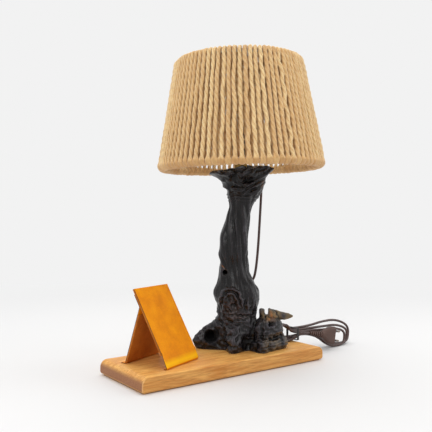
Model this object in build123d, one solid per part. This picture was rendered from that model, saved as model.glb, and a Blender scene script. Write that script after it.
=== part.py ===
from build123d import *
import math
import os

# Wooden table lamp with a rope shade and a leather telephone stand on its board.
# Millimetres, +Z up. The origin is on the table, under the middle of the board,
# with +X along the board towards the lamp and +Y away from the front.

# Board and its felt
BOARD_LENGTH = 376.0
BOARD_WIDTH = 142.0
BOARD_THICKNESS = 23.0
BOARD_END_ROUND = 12.0
BOARD_UNDER_ROUND = 5.0
BOARD_EDGE_EASE = 2.5
FELT_THICKNESS = 2.0
FELT_INSET = 4.0

# Where the lamp stands on the board, and how its wood is turned and its shade leans
LAMP_X = 53.7
LAMP_Y = 3.8
TRUNK_TURN = 36.4
LAMP_LEAN = 2.0

# Trunk, in heights above the table and reaches from the lamp's axis
TRUNK_SECTION_POINTS = 20
TRUNK_FLUTE = 0.05
TRUNK_TWIST = 0.9
HEAD_HEIGHT = 345.0
HEAD_SIDE_SLOPE = 6.2
HEAD_BACK_SLOPE = 5.0
TRUNK_SCREW_CIRCLE = 20.0
TRUNK_SCREW_COUNT = 3
TRUNK_SCREW_LENGTH = 45.0
TRUNK_SCREW_RADIUS = 2.25
TRUNK_SCREW_HEAD_RADIUS = 4.5

# Stem levels: height, then reach to the left, right, front and back
STEM_LEVELS = (
    (-12.0, 36, 36, 27, 36),
    (-2.0, 37, 36, 27, 36),
    (8.0, 38, 36, 28, 36),
    (16.0, 38, 35, 29, 35),
    (24.0, 38, 34, 30, 33),
    (33.0, 39, 32, 30, 32),
    (43.0, 40, 30, 30, 30),
    (54.0, 41, 29, 30, 29),
    (66.0, 42, 29, 30, 28),
    (77.0, 42, 31, 31, 28),
    (88.0, 46, 33, 33, 30),
    (99.0, 49, 33, 34, 30),
    (109.0, 47, 30, 32, 29),
    (119.0, 42, 24, 29, 27),
    (130.0, 39, 18, 27, 26),
    (144.0, 37, 14, 25, 25),
    (162.0, 38, 12, 25, 24),
    (182.0, 39, 12, 25, 23),
    (200.0, 37, 12, 24, 22),
    (218.0, 31, 14, 22, 21),
    (234.0, 26, 17, 21, 20),
    (249.0, 22, 19, 21, 20),
    (261.0, 21, 23, 22, 21),
    (272.0, 22, 31, 24, 23),
    (283.0, 27, 40, 28, 25),
    (292.0, 34, 44, 31, 27),
    (300.0, 45, 44, 34, 29),
)
HEAD_REACH = (60, 61, 34, 33)

# Root lobes: direction in degrees, spread, how far they leave the stem, height where they are gone
ROOT_LOBES = (
    (180.0, 18.0, 49.0, 62.0),
    (252.0, 19.0, 25.0, 58.0),
    (126.0, 22.0, 17.0, 46.0),
    (36.0, 22.0, 11.0, 40.0),
)
ROOT_SHOULDER = 14.0
ROOT_TUCK = 0.15

# Burl beside the trunk, along the board: its place, then height and four reaches
BURL_ACROSS = 49.0
BURL_AWAY = -8.0
BURL_LEVELS = (
    (-8.0, 34, 37, 18, 23),
    (-1.0, 36, 39, 19, 24),
    (7.0, 39, 42, 21, 26),
    (14.0, 38, 41, 20, 25),
    (21.0, 32, 36, 15, 22),
    (29.0, 30, 31, 17, 22),
    (38.0, 30, 29, 18, 20),
    (48.0, 27, 27, 16, 17),
    (56.0, 20, 22, 11, 12),
    (62.0, 12, 15, 7, 8),
)
BURL_KNOB = (38.0, -8.0, 97.0)
BURL_KNOB_RADIUS = 5.0
BURL_KNOB_HEIGHT = 40.0
BURL_HORN_FOOT = (50.0, -4.0, 85.0)
BURL_HORN_TIP = (95.0, -2.0, 83.5)
BURL_HORN_RADII = (13.0, 2.2)
BURL_FOOT = (37.0, -33.0, 29.0)
BURL_FOOT_TURN = (8.0, 5.0, 0.0)
BURL_FOOT_RADII = (14.0, 9.0)
BURL_FOOT_HEIGHT = 40.0
HOLLOW_PLACE = (-54.6, -9.0, 48.6)
HOLLOW_TURN = (90.0, 0.0, 0.0)
HOLLOW_RADIUS = 13.0
HOLLOW_DEPTH = 28.0
KNOT_PLACE = (-29.0, -13.0, 162.5)
KNOT_TURN = (90.0, 0.0, -50.0)
KNOT_RADIUS = 3.5
KNOT_DEPTH = 12.0

# Telephone stand of leather over stiff board
STAND_FROM_END = 53.1
STAND_X = STAND_FROM_END - BOARD_LENGTH / 2
STAND_Y = -57.6
STAND_TURN = 22.9
STAND_WIDTH = 89.2
STAND_SLOPE = 60.8
STAND_FOOT_SLOPE = 73.0
STAND_LENGTH = 137.9
STAND_BEND_HEIGHT = 20.0
STAND_FLANGE = 11.5
LEATHER = 1.6
STAND_CORE = 2.0
LEG_MEETS_AT = 107.5
LEG_FOOT_DEPTH = 84.0
LEG_FLAP = 22.0
LEG_CORE_FROM = 0.03
LEG_CORE_TO = 0.86

# Lampholder on the head, heights from the plane of the shade's lower ring
RING_HEIGHT = 353.6
SEAT_LEVEL = -11.6
SEAT_FLANGE_RADIUS = 19.0
SEAT_FLANGE_THICKNESS = 2.0
SEAT_SCREW_CIRCLE = 15.0
SEAT_SCREW_COUNT = 3
SEAT_SCREW_RADIUS = 1.5
SEAT_SCREW_LENGTH = 16.0
COLLAR_RADIUS = 11.0
COLLAR_WALL = 1.6
COLLAR_TOP = 3.4
NIPPLE_RADIUS = 5.0
NIPPLE_BORE = 3.5
NIPPLE_LENGTH = 13.0
NIPPLE_BELOW = 5.0
NUT_FLATS = 13.0
NUT_THICKNESS = 3.0
HOLDER_RADIUS = 19.5
HOLDER_WALL = 1.5
HOLDER_CAP_TOP = 20.0
HOLDER_STEP = 16.0
HOLDER_LEDGE = 3.0
HOLDER_TOP = 58.0
SHOULDER_TOP = 42.0
SHOULDER_RADIUS = 23.5
SHOULDER_THICKNESS = 2.0
BLOCK_THICKNESS = 11.0
SHELL_INNER = 13.5
SHELL_WALL = 0.6
SHELL_HEIGHT = 25.0
CONTACT_RISE = 3.0
CONTACT_WIDTH = 6.0
CONTACT_THICKNESS = 0.6
TERMINAL_SPREAD = 9.0
TERMINAL_SCREW_RADIUS = 1.5
TERMINAL_DEPTH = 8.0

# Lamp bulb
BULB_CAP_RADIUS = 13.1
BULB_CAP_HEIGHT = 26.0
BULB_GLOBE_RADIUS = 30.0
BULB_GLOBE_LEVEL = 107.0
BULB_NECK_RADIUS = 12.5
BULB_GLASS = 1.2
GLASS_IN_CAP = 8.0
GLOBE_JOIN = -33.0

# Shade: two wire rings with rope wound over both
LOWER_RING_RADIUS = 139.9
UPPER_RING_RADIUS = 107.3
SHADE_HEIGHT = 176.8
RING_WIRE_RADIUS = 2.0
WIRE_SIDES = 10
LAYER_ROOM = 0.2
UPRIGHT_WIRE_RADIUS = 1.5
UPRIGHT_COUNT = 6
UPRIGHT_TURN = 15.0
ARM_WIRE_RADIUS = 1.8
ARM_COUNT = 3
ARM_TURN = 30.0
ARM_DROP = 2.0
FITTER_BORE = 20.3
FITTER_RADIUS = 25.5
FITTER_THICKNESS = 2.0
ROPE_RADIUS = 4.0
ROPE_TURNS = 84
ROPE_VALLEY = 0.44
SHADE_NUT_RADIUS = 26.0
SHADE_NUT_HEIGHT = 6.0
SHADE_NUT_GRIPS = 18

# Clearances
RUNNING_GAP = 0.3
SEAT_GAP = 0.1

# Flex, its switch, hank and plug
CORD_RADIUS = 2.4
GRIP_RADIUS = 4.2
GRIP_START = 11.0
GRIP_LENGTH = 20.0
BUSH_RADIUS = 3.2
PORT_AZIMUTH = 13.5
PORT_LEVEL = 351.0
SWITCH_X = 98.0
SWITCH_Y = 30.0
SWITCH_BOTTOM = 61.0
SWITCH_LENGTH = 58.0
SWITCH_WIDTH = 21.0
SWITCH_DEPTH = 19.0
SWITCH_WALL = 1.8
ROCKER_LENGTH = 17.0
ROCKER_WIDTH = 9.0
ROCKER_TRAVEL = 14.0
ROCKER_PIN = 1.2
ROCKER_LEVEL = 5.5
PIN_FIT = 0.05
POST_RADIUS = 3.3
POST_ACROSS = 5.0
POST_ALONG = 13.5
SWITCH_SCREW_RADIUS = 1.2
SWITCH_SCREW_LENGTH = 13.0
SWITCH_HEAD_RADIUS = 2.2
SWITCH_HEAD_DEPTH = 1.8
HANK_LOOPS = 3
HANK_SIDES = 8
HANK_STEP = 5.8
HANK_BACK_Y = 10.0
HANK_LEAN = 6.0
WAIST_LOW = 31.0
WAIST_HIGH = 47.0
WAIST_LEFT_X = 176.0
WAIST_RIGHT_X = 203.0
FOLD_LEFT_X = 152.0
FOLD_LOW = 27.8
FOLD_HIGH = 57.8
TIE_X = 178.0
TIE_WIDTH = 5.0
TIE_LEAD_DRIFT = 5.7
TIE_THICKNESS = 0.8
PLUG_Y = -17.0
PLUG_NECK = (207.9, 38.2)
PLUG_FALL = 10.5
PLUG_FACE_WIDTH = 35.3
PLUG_FACE_DEPTH = 13.7
PLUG_BODY = 36.0
PLUG_TAIL = 31.0
PLUG_RIBS = 6
PLUG_NECK_RADIUS = 3.9
PLUG_TAIL_RADIUS = 6.6
# Sections of the plug: place along the body, shares of its width and depth, corner
PLUG_SECTIONS = (
    (0.0, 0.36, 0.90, 5.2),
    (0.16, 0.42, 0.95, 5.6),
    (0.42, 0.74, 1.0, 5.8),
    (0.68, 0.95, 1.0, 5.8),
    (1.0, 1.0, 1.0, 5.0),
)
PIN_SEAT = 8.0
PIN_ROOT_RADIUS = 1.5
PIN_SPACING = 18.6
PIN_RADIUS = 2.0
PIN_LENGTH = 19.0
SLEEVE_LENGTH = 10.0

# Routes of the flex, chosen by hand
DROP_ROUTE = (
    (83.8, 11.0, 351.0),
    (106.6, 16.5, 351.0),
    (119.2, 25.2, 334.5),
    (118.2, 24.4, 312.0),
    (104.2, 24.6, 150.0),
    (98.0, 30.0, 133.0),
    (98.0, 30.0, 109.0),
)
FEED_ROUTE = (
    (98.0, 30.0, 71.0),
    (98.0, 30.0, 48.5),
    (105.0, 29.3, 35.0),
    (118.0, 27.0, 27.8),
    (134.5, 26.0, 27.8),
)
# Right end of each loop of the hank: crest x and z, far x and z, low x and z
HANK_ENDS = (
    ((293.0, 51.0), (347.0, 18.0), (329.0, 2.6)),
    ((290.0, 42.0), (336.0, 18.0), (319.0, 2.6)),
    ((284.0, 36.5), (322.0, 18.5), (306.0, 2.6)),
)

BOARD_TOP = FELT_THICKNESS + BOARD_THICKNESS
TRUNK_PLACE = Location((LAMP_X, LAMP_Y, 0), (0, 0, -TRUNK_TURN))
LAMP_PLACE = Location((LAMP_X, LAMP_Y, RING_HEIGHT), (0, -LAMP_LEAN, 0))
STAND_PLACE = Location((STAND_X, STAND_Y, BOARD_TOP), (0, 0, STAND_TURN))


def save(shape, name):
    """Write one sub-part under its node name."""
    shape.label = name
    export_step(shape, f"parts/{name}.step")


def ring(inner, outer, low, high):
    """Flat-ended ring round the Z axis."""
    solid = Pos(0, 0, (low + high) / 2) * Cylinder(outer, high - low)
    if inner > 0:
        solid -= Pos(0, 0, (low + high) / 2) * Cylinder(inner, high - low + 2)
    return solid


def turned(*points):
    """Solid turned round Z from (radius, height) points."""
    outline = Polyline(*[(radius, 0, height) for radius, height in points], close=True)
    return revolve(make_face(outline), Axis.Z)


def around(count, start=0.0):
    """Angles of a ring of equal places, in degrees."""
    return [start + 360.0 * step / count for step in range(count)]


def polar(radius, angle):
    """Point on a circle, the angle in degrees."""
    return radius * math.cos(math.radians(angle)), radius * math.sin(math.radians(angle))


def wire_rod(start, end, radius):
    """Straight round rod between two points."""
    axis = Vector(*end) - Vector(*start)
    plane = Plane(origin=start, z_dir=axis)
    return extrude(plane * Circle(radius), axis.length)


# Board

def trunk_screw_places():
    """Places of the wood screws that hold the trunk, in the trunk's own frame."""
    return [polar(TRUNK_SCREW_CIRCLE, angle) for angle in around(TRUNK_SCREW_COUNT, 60.0)]


def wood_screw(length, radius, head_radius):
    """Countersunk wood screw, point up, with its head's face at height 0."""
    head = head_radius - radius
    screw = turned((0, 0), (head_radius, 0), (radius, head), (radius, length - 3 * radius), (0, length))
    slot = Box(2 * head_radius, 1.0, 1.2)
    return screw - slot


def base_board():
    """Plank with rounded ends, eased edges and countersunk holes from below."""
    middle = FELT_THICKNESS + BOARD_THICKNESS / 2
    outline = Rectangle(BOARD_LENGTH, BOARD_THICKNESS)
    outline = fillet(outline.vertices().group_by(Axis.Y)[-1], BOARD_END_ROUND)
    outline = fillet(outline.vertices().sort_by(Axis.Y)[:2], BOARD_UNDER_ROUND)
    plank = extrude(Plane.XZ * outline, BOARD_WIDTH / 2, both=True)
    sides = plank.faces().sort_by(Axis.Y)
    plank = fillet(sides[0].edges() + sides[-1].edges(), BOARD_EDGE_EASE)
    plank = Pos(0, 0, middle) * plank
    head = TRUNK_SCREW_HEAD_RADIUS + RUNNING_GAP
    shank = TRUNK_SCREW_RADIUS + RUNNING_GAP
    for x, y in trunk_screw_places():
        hole = turned((0, -1), (head + 1, -1), (shank, head - shank), (shank, BOARD_THICKNESS + 1),
                      (0, BOARD_THICKNESS + 1))
        plank -= TRUNK_PLACE * Pos(x, y, FELT_THICKNESS) * hole
    return plank


def felt_sheet():
    """Felt under the whole board, a little in from its edges."""
    outline = RectangleRounded(BOARD_LENGTH - 2 * FELT_INSET, BOARD_WIDTH - 2 * FELT_INSET, 4.0)
    return extrude(outline, FELT_THICKNESS)


def trunk_screws():
    """The screws that come up through the board into the trunk."""
    screw = wood_screw(TRUNK_SCREW_LENGTH, TRUNK_SCREW_RADIUS, TRUNK_SCREW_HEAD_RADIUS)
    return Compound([TRUNK_PLACE * Pos(x, y, FELT_THICKNESS + SEAT_GAP) * screw
                     for x, y in trunk_screw_places()])


# Trunk

def lobe_reach(angle, height):
    """How much further the roots reach than the stem, at an angle and a height."""
    extra = 0.0
    for direction, spread, reach, top in ROOT_LOBES:
        turn = (angle - direction + 180.0) % 360.0 - 180.0
        rise = min(max((top - height) / (top - ROOT_SHOULDER), 0.0), 1.0)
        rise = rise * rise * (3.0 - 2.0 * rise)
        rise *= 1.0 - ROOT_TUCK * max(ROOT_SHOULDER - height, 0.0) / ROOT_SHOULDER
        extra += reach * rise * math.exp(-(turn / spread) ** 2)
    return extra


def trunk_outline(height, reaches, roots=True, flute=TRUNK_FLUTE):
    """Closed smooth outline of the wood at one height, its flutes strongest at the front and back."""
    left, right, front, back = reaches
    points = []
    for angle in around(TRUNK_SECTION_POINTS):
        across, away = polar(1.0, angle)
        side = right if across > 0 else left
        depth = back if away > 0 else front
        radius = 1.0 / math.hypot(across / side, away / depth)
        wave = math.cos(math.radians(3 * angle + TRUNK_TWIST * height))
        radius *= 1.0 + flute * wave * abs(away)
        if roots:
            radius += lobe_reach(angle, height)
        points.append(polar(radius, angle))
    return make_face(Spline(*points, periodic=True))


def trunk_stem():
    """Stem from its flared foot up to the slanting top of its head."""
    sections = []
    for height, *reaches in STEM_LEVELS:
        sections.append(Pos(0, 0, BOARD_TOP + height) * trunk_outline(height, reaches))
    head_plane = Location((0, 0, HEAD_HEIGHT), (-HEAD_BACK_SLOPE, -HEAD_SIDE_SLOPE, 0))
    sections.append(head_plane * trunk_outline(HEAD_HEIGHT, HEAD_REACH, roots=False, flute=0.03))
    return loft(sections)


def burl():
    """The four pieces of the knotty stump beside the stem: lump, knob, broken branch and foot."""
    sections = []
    for height, *reaches in BURL_LEVELS:
        place = Location((BURL_ACROSS, BURL_AWAY, BOARD_TOP + height), (0, 0, TRUNK_TURN))
        sections.append(place * trunk_outline(height, reaches, roots=False, flute=0.08))
    knob = Cone(BURL_KNOB_RADIUS * 1.5, BURL_KNOB_RADIUS * 0.9, BURL_KNOB_HEIGHT)
    knob = Pos(*BURL_KNOB) * Pos(0, 0, -BURL_KNOB_HEIGHT / 2) * knob
    way = Vector(*BURL_HORN_TIP) - Vector(*BURL_HORN_FOOT)
    middle = Vector(*BURL_HORN_FOOT) + way * 0.5
    horn = Plane(origin=middle, z_dir=way).location * Cone(*BURL_HORN_RADII, way.length)
    foot = Location(BURL_FOOT, BURL_FOOT_TURN) * Cone(*BURL_FOOT_RADII, BURL_FOOT_HEIGHT)
    return [loft(sections), knob, horn, foot]


def trunk():
    """The stem and its burl in one piece of wood, with its hollow, knot and seats."""
    wood = trunk_stem()
    for piece in burl():
        wood += piece
    wood -= Pos(0, 0, BOARD_TOP - 50) * Box(400, 400, 100)
    wood -= Location(HOLLOW_PLACE, HOLLOW_TURN) * Cone(HOLLOW_RADIUS * 0.3, HOLLOW_RADIUS, HOLLOW_DEPTH)
    wood -= Location(KNOT_PLACE, KNOT_TURN) * Cylinder(KNOT_RADIUS, 2 * KNOT_DEPTH)
    wood = TRUNK_PLACE * wood
    seat = ring(0, SEAT_FLANGE_RADIUS + RUNNING_GAP, SEAT_LEVEL, SEAT_LEVEL + 40)
    wood -= LAMP_PLACE * seat
    for angle in around(SEAT_SCREW_COUNT, 90.0):
        x, y = polar(SEAT_SCREW_CIRCLE, angle)
        depth = SEAT_SCREW_LENGTH - SEAT_FLANGE_THICKNESS + SEAT_GAP
        pilot = Pos(x, y, SEAT_LEVEL - depth / 2) * Cylinder(SEAT_SCREW_RADIUS + SEAT_GAP, depth)
        wood -= LAMP_PLACE * pilot
    pilot_depth = TRUNK_SCREW_LENGTH - BOARD_THICKNESS + 1.0
    for x, y in trunk_screw_places():
        pilot = Cylinder(TRUNK_SCREW_RADIUS + SEAT_GAP, pilot_depth)
        wood -= TRUNK_PLACE * Pos(x, y, BOARD_TOP + pilot_depth / 2) * pilot
    return wood


# Telephone stand, in a frame along its own width

def sheet(points, thickness):
    """Bent sheet as wide as the stand, its face on the points and its body behind them."""
    back = offset_2d_path(points, thickness)
    outline = Polyline(*points, *reversed(back), close=True)
    width = Plane(origin=(0, 0, 0), x_dir=(0, 1, 0), z_dir=(1, 0, 0))
    return extrude(width * make_face(outline), STAND_WIDTH)


def offset_2d_path(points, distance):
    """The same bent line moved sideways to its right by a distance."""
    moved = []
    for index, point in enumerate(points):
        normals = []
        for start, end in ((index - 1, index), (index, index + 1)):
            if start < 0 or end >= len(points):
                continue
            run_y = points[end][0] - points[start][0]
            run_z = points[end][1] - points[start][1]
            length = math.hypot(run_y, run_z)
            normals.append((run_z / length, -run_y / length))
        if len(normals) == 1:
            ny, nz = normals[0]
            scale = distance
        else:
            ny = normals[0][0] + normals[1][0]
            nz = normals[0][1] + normals[1][1]
            scale = distance * 2.0 / (ny * ny + nz * nz)
        moved.append((point[0] + ny * scale, point[1] + nz * scale))
    return moved


def panel_point(along):
    """Depth and height of a point on the panel's sloping front, from its foot's corner."""
    slope = math.radians(STAND_SLOPE)
    return along * math.cos(slope), along * math.sin(slope)


def panel_bend():
    """Depth and height where the leather below the stiff board stands steeper."""
    slope = math.radians(STAND_SLOPE)
    return STAND_BEND_HEIGHT / math.tan(slope), STAND_BEND_HEIGHT


def panel_leather():
    """Front leather, from a turned-in foot flange up to the top edge."""
    bend = panel_bend()
    foot = (bend[0] - STAND_BEND_HEIGHT / math.tan(math.radians(STAND_FOOT_SLOPE)), 0.0)
    flange = (foot[0] + STAND_FLANGE, 0.0)
    return sheet((flange, foot, bend, panel_point(STAND_LENGTH)), LEATHER)


def behind_panel(along, distance):
    """Point behind the panel's front face, at a distance square to it."""
    slope = math.radians(STAND_SLOPE)
    y, z = panel_point(along)
    return y + distance * math.sin(slope), z - distance * math.cos(slope)


def panel_core():
    """Stiff board glued behind the leather, ending above the lower bend."""
    start = STAND_BEND_HEIGHT / math.sin(math.radians(STAND_SLOPE)) + 2.0
    low = behind_panel(start, LEATHER)
    high = behind_panel(STAND_LENGTH, LEATHER)
    return sheet((low, high), STAND_CORE)


def leg_leather():
    """Rear leg: foot flange turned out on the board, the leg, and its flap glued behind the panel."""
    back = LEATHER + STAND_CORE
    flap_top = behind_panel(LEG_MEETS_AT + LEG_FLAP, back)
    joint = behind_panel(LEG_MEETS_AT, back)
    toe = (LEG_FOOT_DEPTH + STAND_FLANGE, 0.0)
    return sheet((toe, (LEG_FOOT_DEPTH, 0.0), joint, flap_top), LEATHER)


def leg_core():
    """Stiff board glued inside the rear leg."""
    joint = behind_panel(LEG_MEETS_AT, LEATHER + STAND_CORE)
    foot = (LEG_FOOT_DEPTH, 0.0)
    low = tuple(foot[i] + (joint[i] - foot[i]) * LEG_CORE_FROM for i in range(2))
    high = tuple(foot[i] + (joint[i] - foot[i]) * LEG_CORE_TO for i in range(2))
    return sheet((low, high), -STAND_CORE)


def build_stand():
    """Write the pieces of the telephone stand."""
    save(STAND_PLACE * panel_leather(), "stand_panel_leather")
    save(STAND_PLACE * panel_core(), "stand_panel_core")
    save(STAND_PLACE * leg_leather(), "stand_leg_leather")
    save(STAND_PLACE * leg_core(), "stand_leg_core")


# Lampholder, in a frame on the leaning axis with height 0 at the shade's lower ring

def seat_collar():
    """Brass foot of the holder: screwed flange, tube with a port for the flex, and a top plate."""
    tube_low = SEAT_LEVEL + SEAT_FLANGE_THICKNESS
    solid = ring(0, SEAT_FLANGE_RADIUS, SEAT_LEVEL, tube_low)
    solid += ring(0, COLLAR_RADIUS, SEAT_LEVEL, COLLAR_TOP)
    solid -= ring(0, COLLAR_RADIUS - COLLAR_WALL, SEAT_LEVEL - 1, COLLAR_TOP - COLLAR_WALL)
    solid -= ring(0, NIPPLE_RADIUS + SEAT_GAP, SEAT_LEVEL, COLLAR_TOP + 1)
    for angle in around(SEAT_SCREW_COUNT, 90.0):
        x, y = polar(SEAT_SCREW_CIRCLE, angle)
        solid -= Pos(x, y, SEAT_LEVEL) * Cylinder(SEAT_SCREW_RADIUS + SEAT_GAP, 10)
    return solid - port_bore()


def port_place():
    """Frame of the flex port: on the collar's wall, pointing outwards, in the lamp's frame."""
    port = Location((LAMP_X, LAMP_Y, PORT_LEVEL), (0, 90, PORT_AZIMUTH))
    return LAMP_PLACE.inverse() * port


def port_bore():
    """Space of the flex bush through the collar's wall."""
    length = COLLAR_RADIUS + 4
    return port_place() * Pos(0, 0, length / 2) * Cylinder(BUSH_RADIUS + SEAT_GAP, length)


def cord_grip():
    """Bush in the port, with the tapered tail that guards the flex."""
    inner = COLLAR_RADIUS - COLLAR_WALL - 1.5
    wall = COLLAR_RADIUS + 1.0
    tip = GRIP_START + GRIP_LENGTH
    outline = turned((0, inner), (BUSH_RADIUS, inner), (BUSH_RADIUS, wall), (GRIP_RADIUS, wall),
                     (GRIP_RADIUS, GRIP_START + 3), (CORD_RADIUS + 0.8, tip), (0, tip))
    return port_place() * outline


def seat_screws():
    """Small brass screws that hold the flange to the wood."""
    length = SEAT_SCREW_LENGTH
    top = SEAT_LEVEL + SEAT_FLANGE_THICKNESS
    screw = turned((0, top - length), (SEAT_SCREW_RADIUS, top - length + 3), (SEAT_SCREW_RADIUS, top),
                   (2.0 * SEAT_SCREW_RADIUS, top), (1.6 * SEAT_SCREW_RADIUS, top + 1.2), (0, top + 1.6))
    return Compound([Pos(*polar(SEAT_SCREW_CIRCLE, angle), 0) * screw
                     for angle in around(SEAT_SCREW_COUNT, 90.0)])


def holder_nipple():
    """Threaded tube that joins the collar to the holder's cap."""
    low = COLLAR_TOP - NIPPLE_BELOW
    return ring(NIPPLE_BORE, NIPPLE_RADIUS, low, low + NIPPLE_LENGTH)


def nipple_nut(under):
    """Hexagon nut with its upper face at the given height."""
    across = NUT_FLATS / math.sqrt(3.0)
    nut = extrude(RegularPolygon(across, 6) - Circle(NIPPLE_RADIUS + SEAT_GAP), NUT_THICKNESS)
    return Pos(0, 0, under - NUT_THICKNESS) * nut


def holder_cap():
    """Domed lower shell of the holder, with a ledge for the contact block."""
    floor = COLLAR_TOP + HOLDER_WALL
    inner = HOLDER_RADIUS - HOLDER_WALL
    ledge = inner - HOLDER_LEDGE
    return turned((NIPPLE_RADIUS + SEAT_GAP, COLLAR_TOP), (COLLAR_RADIUS, COLLAR_TOP),
                  (HOLDER_RADIUS - 2, COLLAR_TOP + 5), (HOLDER_RADIUS, COLLAR_TOP + 9),
                  (HOLDER_RADIUS, HOLDER_CAP_TOP), (inner, HOLDER_CAP_TOP), (inner, HOLDER_STEP),
                  (ledge, HOLDER_STEP), (ledge - 1, COLLAR_TOP + 7), (COLLAR_RADIUS - 1, floor),
                  (NIPPLE_RADIUS + SEAT_GAP, floor))


def holder_body():
    """Upper shell of the holder: skirt, shoulder for the shade and the threaded mouth."""
    inner = HOLDER_RADIUS - HOLDER_WALL
    bore = SHELL_INNER + SHELL_WALL + RUNNING_GAP
    step = HOLDER_STEP + BLOCK_THICKNESS
    solid = ring(bore, HOLDER_RADIUS, HOLDER_CAP_TOP, HOLDER_TOP)
    solid += ring(bore, SHOULDER_RADIUS, SHOULDER_TOP - SHOULDER_THICKNESS, SHOULDER_TOP)
    return solid - ring(0, inner, HOLDER_CAP_TOP - 1, step)


def contact_block():
    """Insulating block that carries the contacts, with bores for its terminal screws."""
    radius = HOLDER_RADIUS - HOLDER_WALL - RUNNING_GAP
    solid = ring(0, radius, HOLDER_STEP, HOLDER_STEP + BLOCK_THICKNESS)
    for side in (-1, 1):
        bore = Cylinder(TERMINAL_SCREW_RADIUS + SEAT_GAP, 2 * TERMINAL_DEPTH)
        solid -= Pos(0, side * TERMINAL_SPREAD, HOLDER_STEP) * bore
    return solid


def terminal_screws():
    """Screws that clamp the two wires under the block."""
    screw = turned((0, -2.0), (2.6, -2.0), (2.6, 0), (TERMINAL_SCREW_RADIUS, 0),
                   (TERMINAL_SCREW_RADIUS, TERMINAL_DEPTH - 1), (0, TERMINAL_DEPTH - 1))
    return Compound([Pos(0, side * TERMINAL_SPREAD, HOLDER_STEP) * screw for side in (-1, 1)])


def centre_contact():
    """Sprung brass strip arched over the block, under the bulb's tip."""
    base = HOLDER_STEP + BLOCK_THICKNESS
    half = SHELL_INNER - 4.5
    top = base + CONTACT_RISE
    arch = ((-half, base), (-half + 3, base), (-3, top - CONTACT_THICKNESS), (3, top - CONTACT_THICKNESS),
            (half - 3, base), (half, base))
    upper = [(x, z + CONTACT_THICKNESS) for x, z in reversed(arch)]
    outline = Plane.XZ * make_face(Polyline(*arch, *upper, close=True))
    return extrude(outline, CONTACT_WIDTH / 2, both=True)


def screw_shell():
    """Brass shell that takes the bulb's cap, flanged in at its foot."""
    base = HOLDER_STEP + BLOCK_THICKNESS
    outer = SHELL_INNER + SHELL_WALL
    solid = ring(SHELL_INNER, outer, base, base + SHELL_HEIGHT)
    return solid + ring(SHELL_INNER - 3.0, outer, base, base + SHELL_WALL)


# Bulb

def bulb_floor():
    """Height of the bulb's lowest point at rest, just over the centre contact."""
    return HOLDER_STEP + BLOCK_THICKNESS + CONTACT_RISE + RUNNING_GAP


def bulb_tip():
    """Solder tip of the bulb's cap."""
    low = bulb_floor()
    return turned((0, low), (2.6, low + 0.6), (3.4, low + 1.6), (3.4, low + 2.4), (0, low + 2.4))


def bulb_insulator():
    """Dark glass between the tip and the cap's shell."""
    low = bulb_floor() + 2.4
    return turned((0, low), (4.4, low), (9.6, low + 3.0), (9.6, low + 4.0), (0, low + 4.0))


def bulb_cap():
    """Screw cap shell of the bulb."""
    low = bulb_floor() + 4.4
    high = bulb_floor() + BULB_CAP_HEIGHT
    radius = BULB_CAP_RADIUS
    inner = BULB_NECK_RADIUS + SEAT_GAP
    return turned((9.7, low), (radius - 1.4, low + 2.2), (radius, low + 3.6), (radius, high),
                  (inner, high), (inner, low + 4.6), (9.7, low + 1.6))


def globe_outline(shrink):
    """Half outline of the bulb's glass, drawn in by a wall thickness."""
    radius = BULB_GLOBE_RADIUS - shrink
    low = bulb_floor() + BULB_CAP_HEIGHT - GLASS_IN_CAP
    neck = BULB_NECK_RADIUS - shrink
    join = math.radians(GLOBE_JOIN)
    joint = (radius * math.cos(join), BULB_GLOBE_LEVEL + radius * math.sin(join))
    neck_top = (neck, bulb_floor() + BULB_CAP_HEIGHT + 1.0)
    middle = math.radians((90.0 + GLOBE_JOIN) / 2)
    crown = (radius * math.cos(middle), BULB_GLOBE_LEVEL + radius * math.sin(middle))
    top = (0.0, BULB_GLOBE_LEVEL + radius)
    flare = TangentArc(joint, neck_top, tangent=(math.sin(join), -math.cos(join)))
    globe = ThreePointArc(joint, crown, top)
    lines = Polyline(neck_top, (neck, low), (0.0, low), top)
    return Plane.XZ * make_face(Curve() + [flare, globe, lines])


def bulb_glass():
    """Hollow glass globe with its neck in the cap."""
    return revolve(globe_outline(0.0), Axis.Z) - revolve(globe_outline(BULB_GLASS), Axis.Z)


# Shade

def wire_hoop(radius, level):
    """Wire ring with a many-sided section."""
    section = Plane.XZ * Pos(radius, level) * RegularPolygon(RING_WIRE_RADIUS, WIRE_SIDES)
    return revolve(section, Axis.Z)


def shade_arms(swell):
    """The three arms from the fitter out to the lower ring, thickened by a clearance."""
    level = SHOULDER_TOP + RUNNING_GAP + FITTER_THICKNESS - ARM_DROP
    arms = []
    for angle in around(ARM_COUNT, ARM_TURN):
        inner = (*polar(FITTER_RADIUS - 1.0, angle), level)
        outer = (*polar(LOWER_RING_RADIUS, angle), 0)
        arms.append(wire_rod(inner, outer, ARM_WIRE_RADIUS + swell))
    return arms


def shade_frame():
    """Welded wire frame with the ring that sits on the holder's shoulder."""
    wires = wire_hoop(LOWER_RING_RADIUS, 0) + wire_hoop(UPPER_RING_RADIUS, SHADE_HEIGHT)
    for angle in around(UPRIGHT_COUNT, UPRIGHT_TURN):
        foot = (*polar(LOWER_RING_RADIUS, angle), 0)
        head = (*polar(UPPER_RING_RADIUS, angle), SHADE_HEIGHT)
        wires += wire_rod(foot, head, UPRIGHT_WIRE_RADIUS)
    for arm in shade_arms(0.0):
        wires += arm
    low = SHOULDER_TOP + RUNNING_GAP
    return wires + ring(FITTER_BORE, FITTER_RADIUS, low, low + FITTER_THICKNESS)


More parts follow.
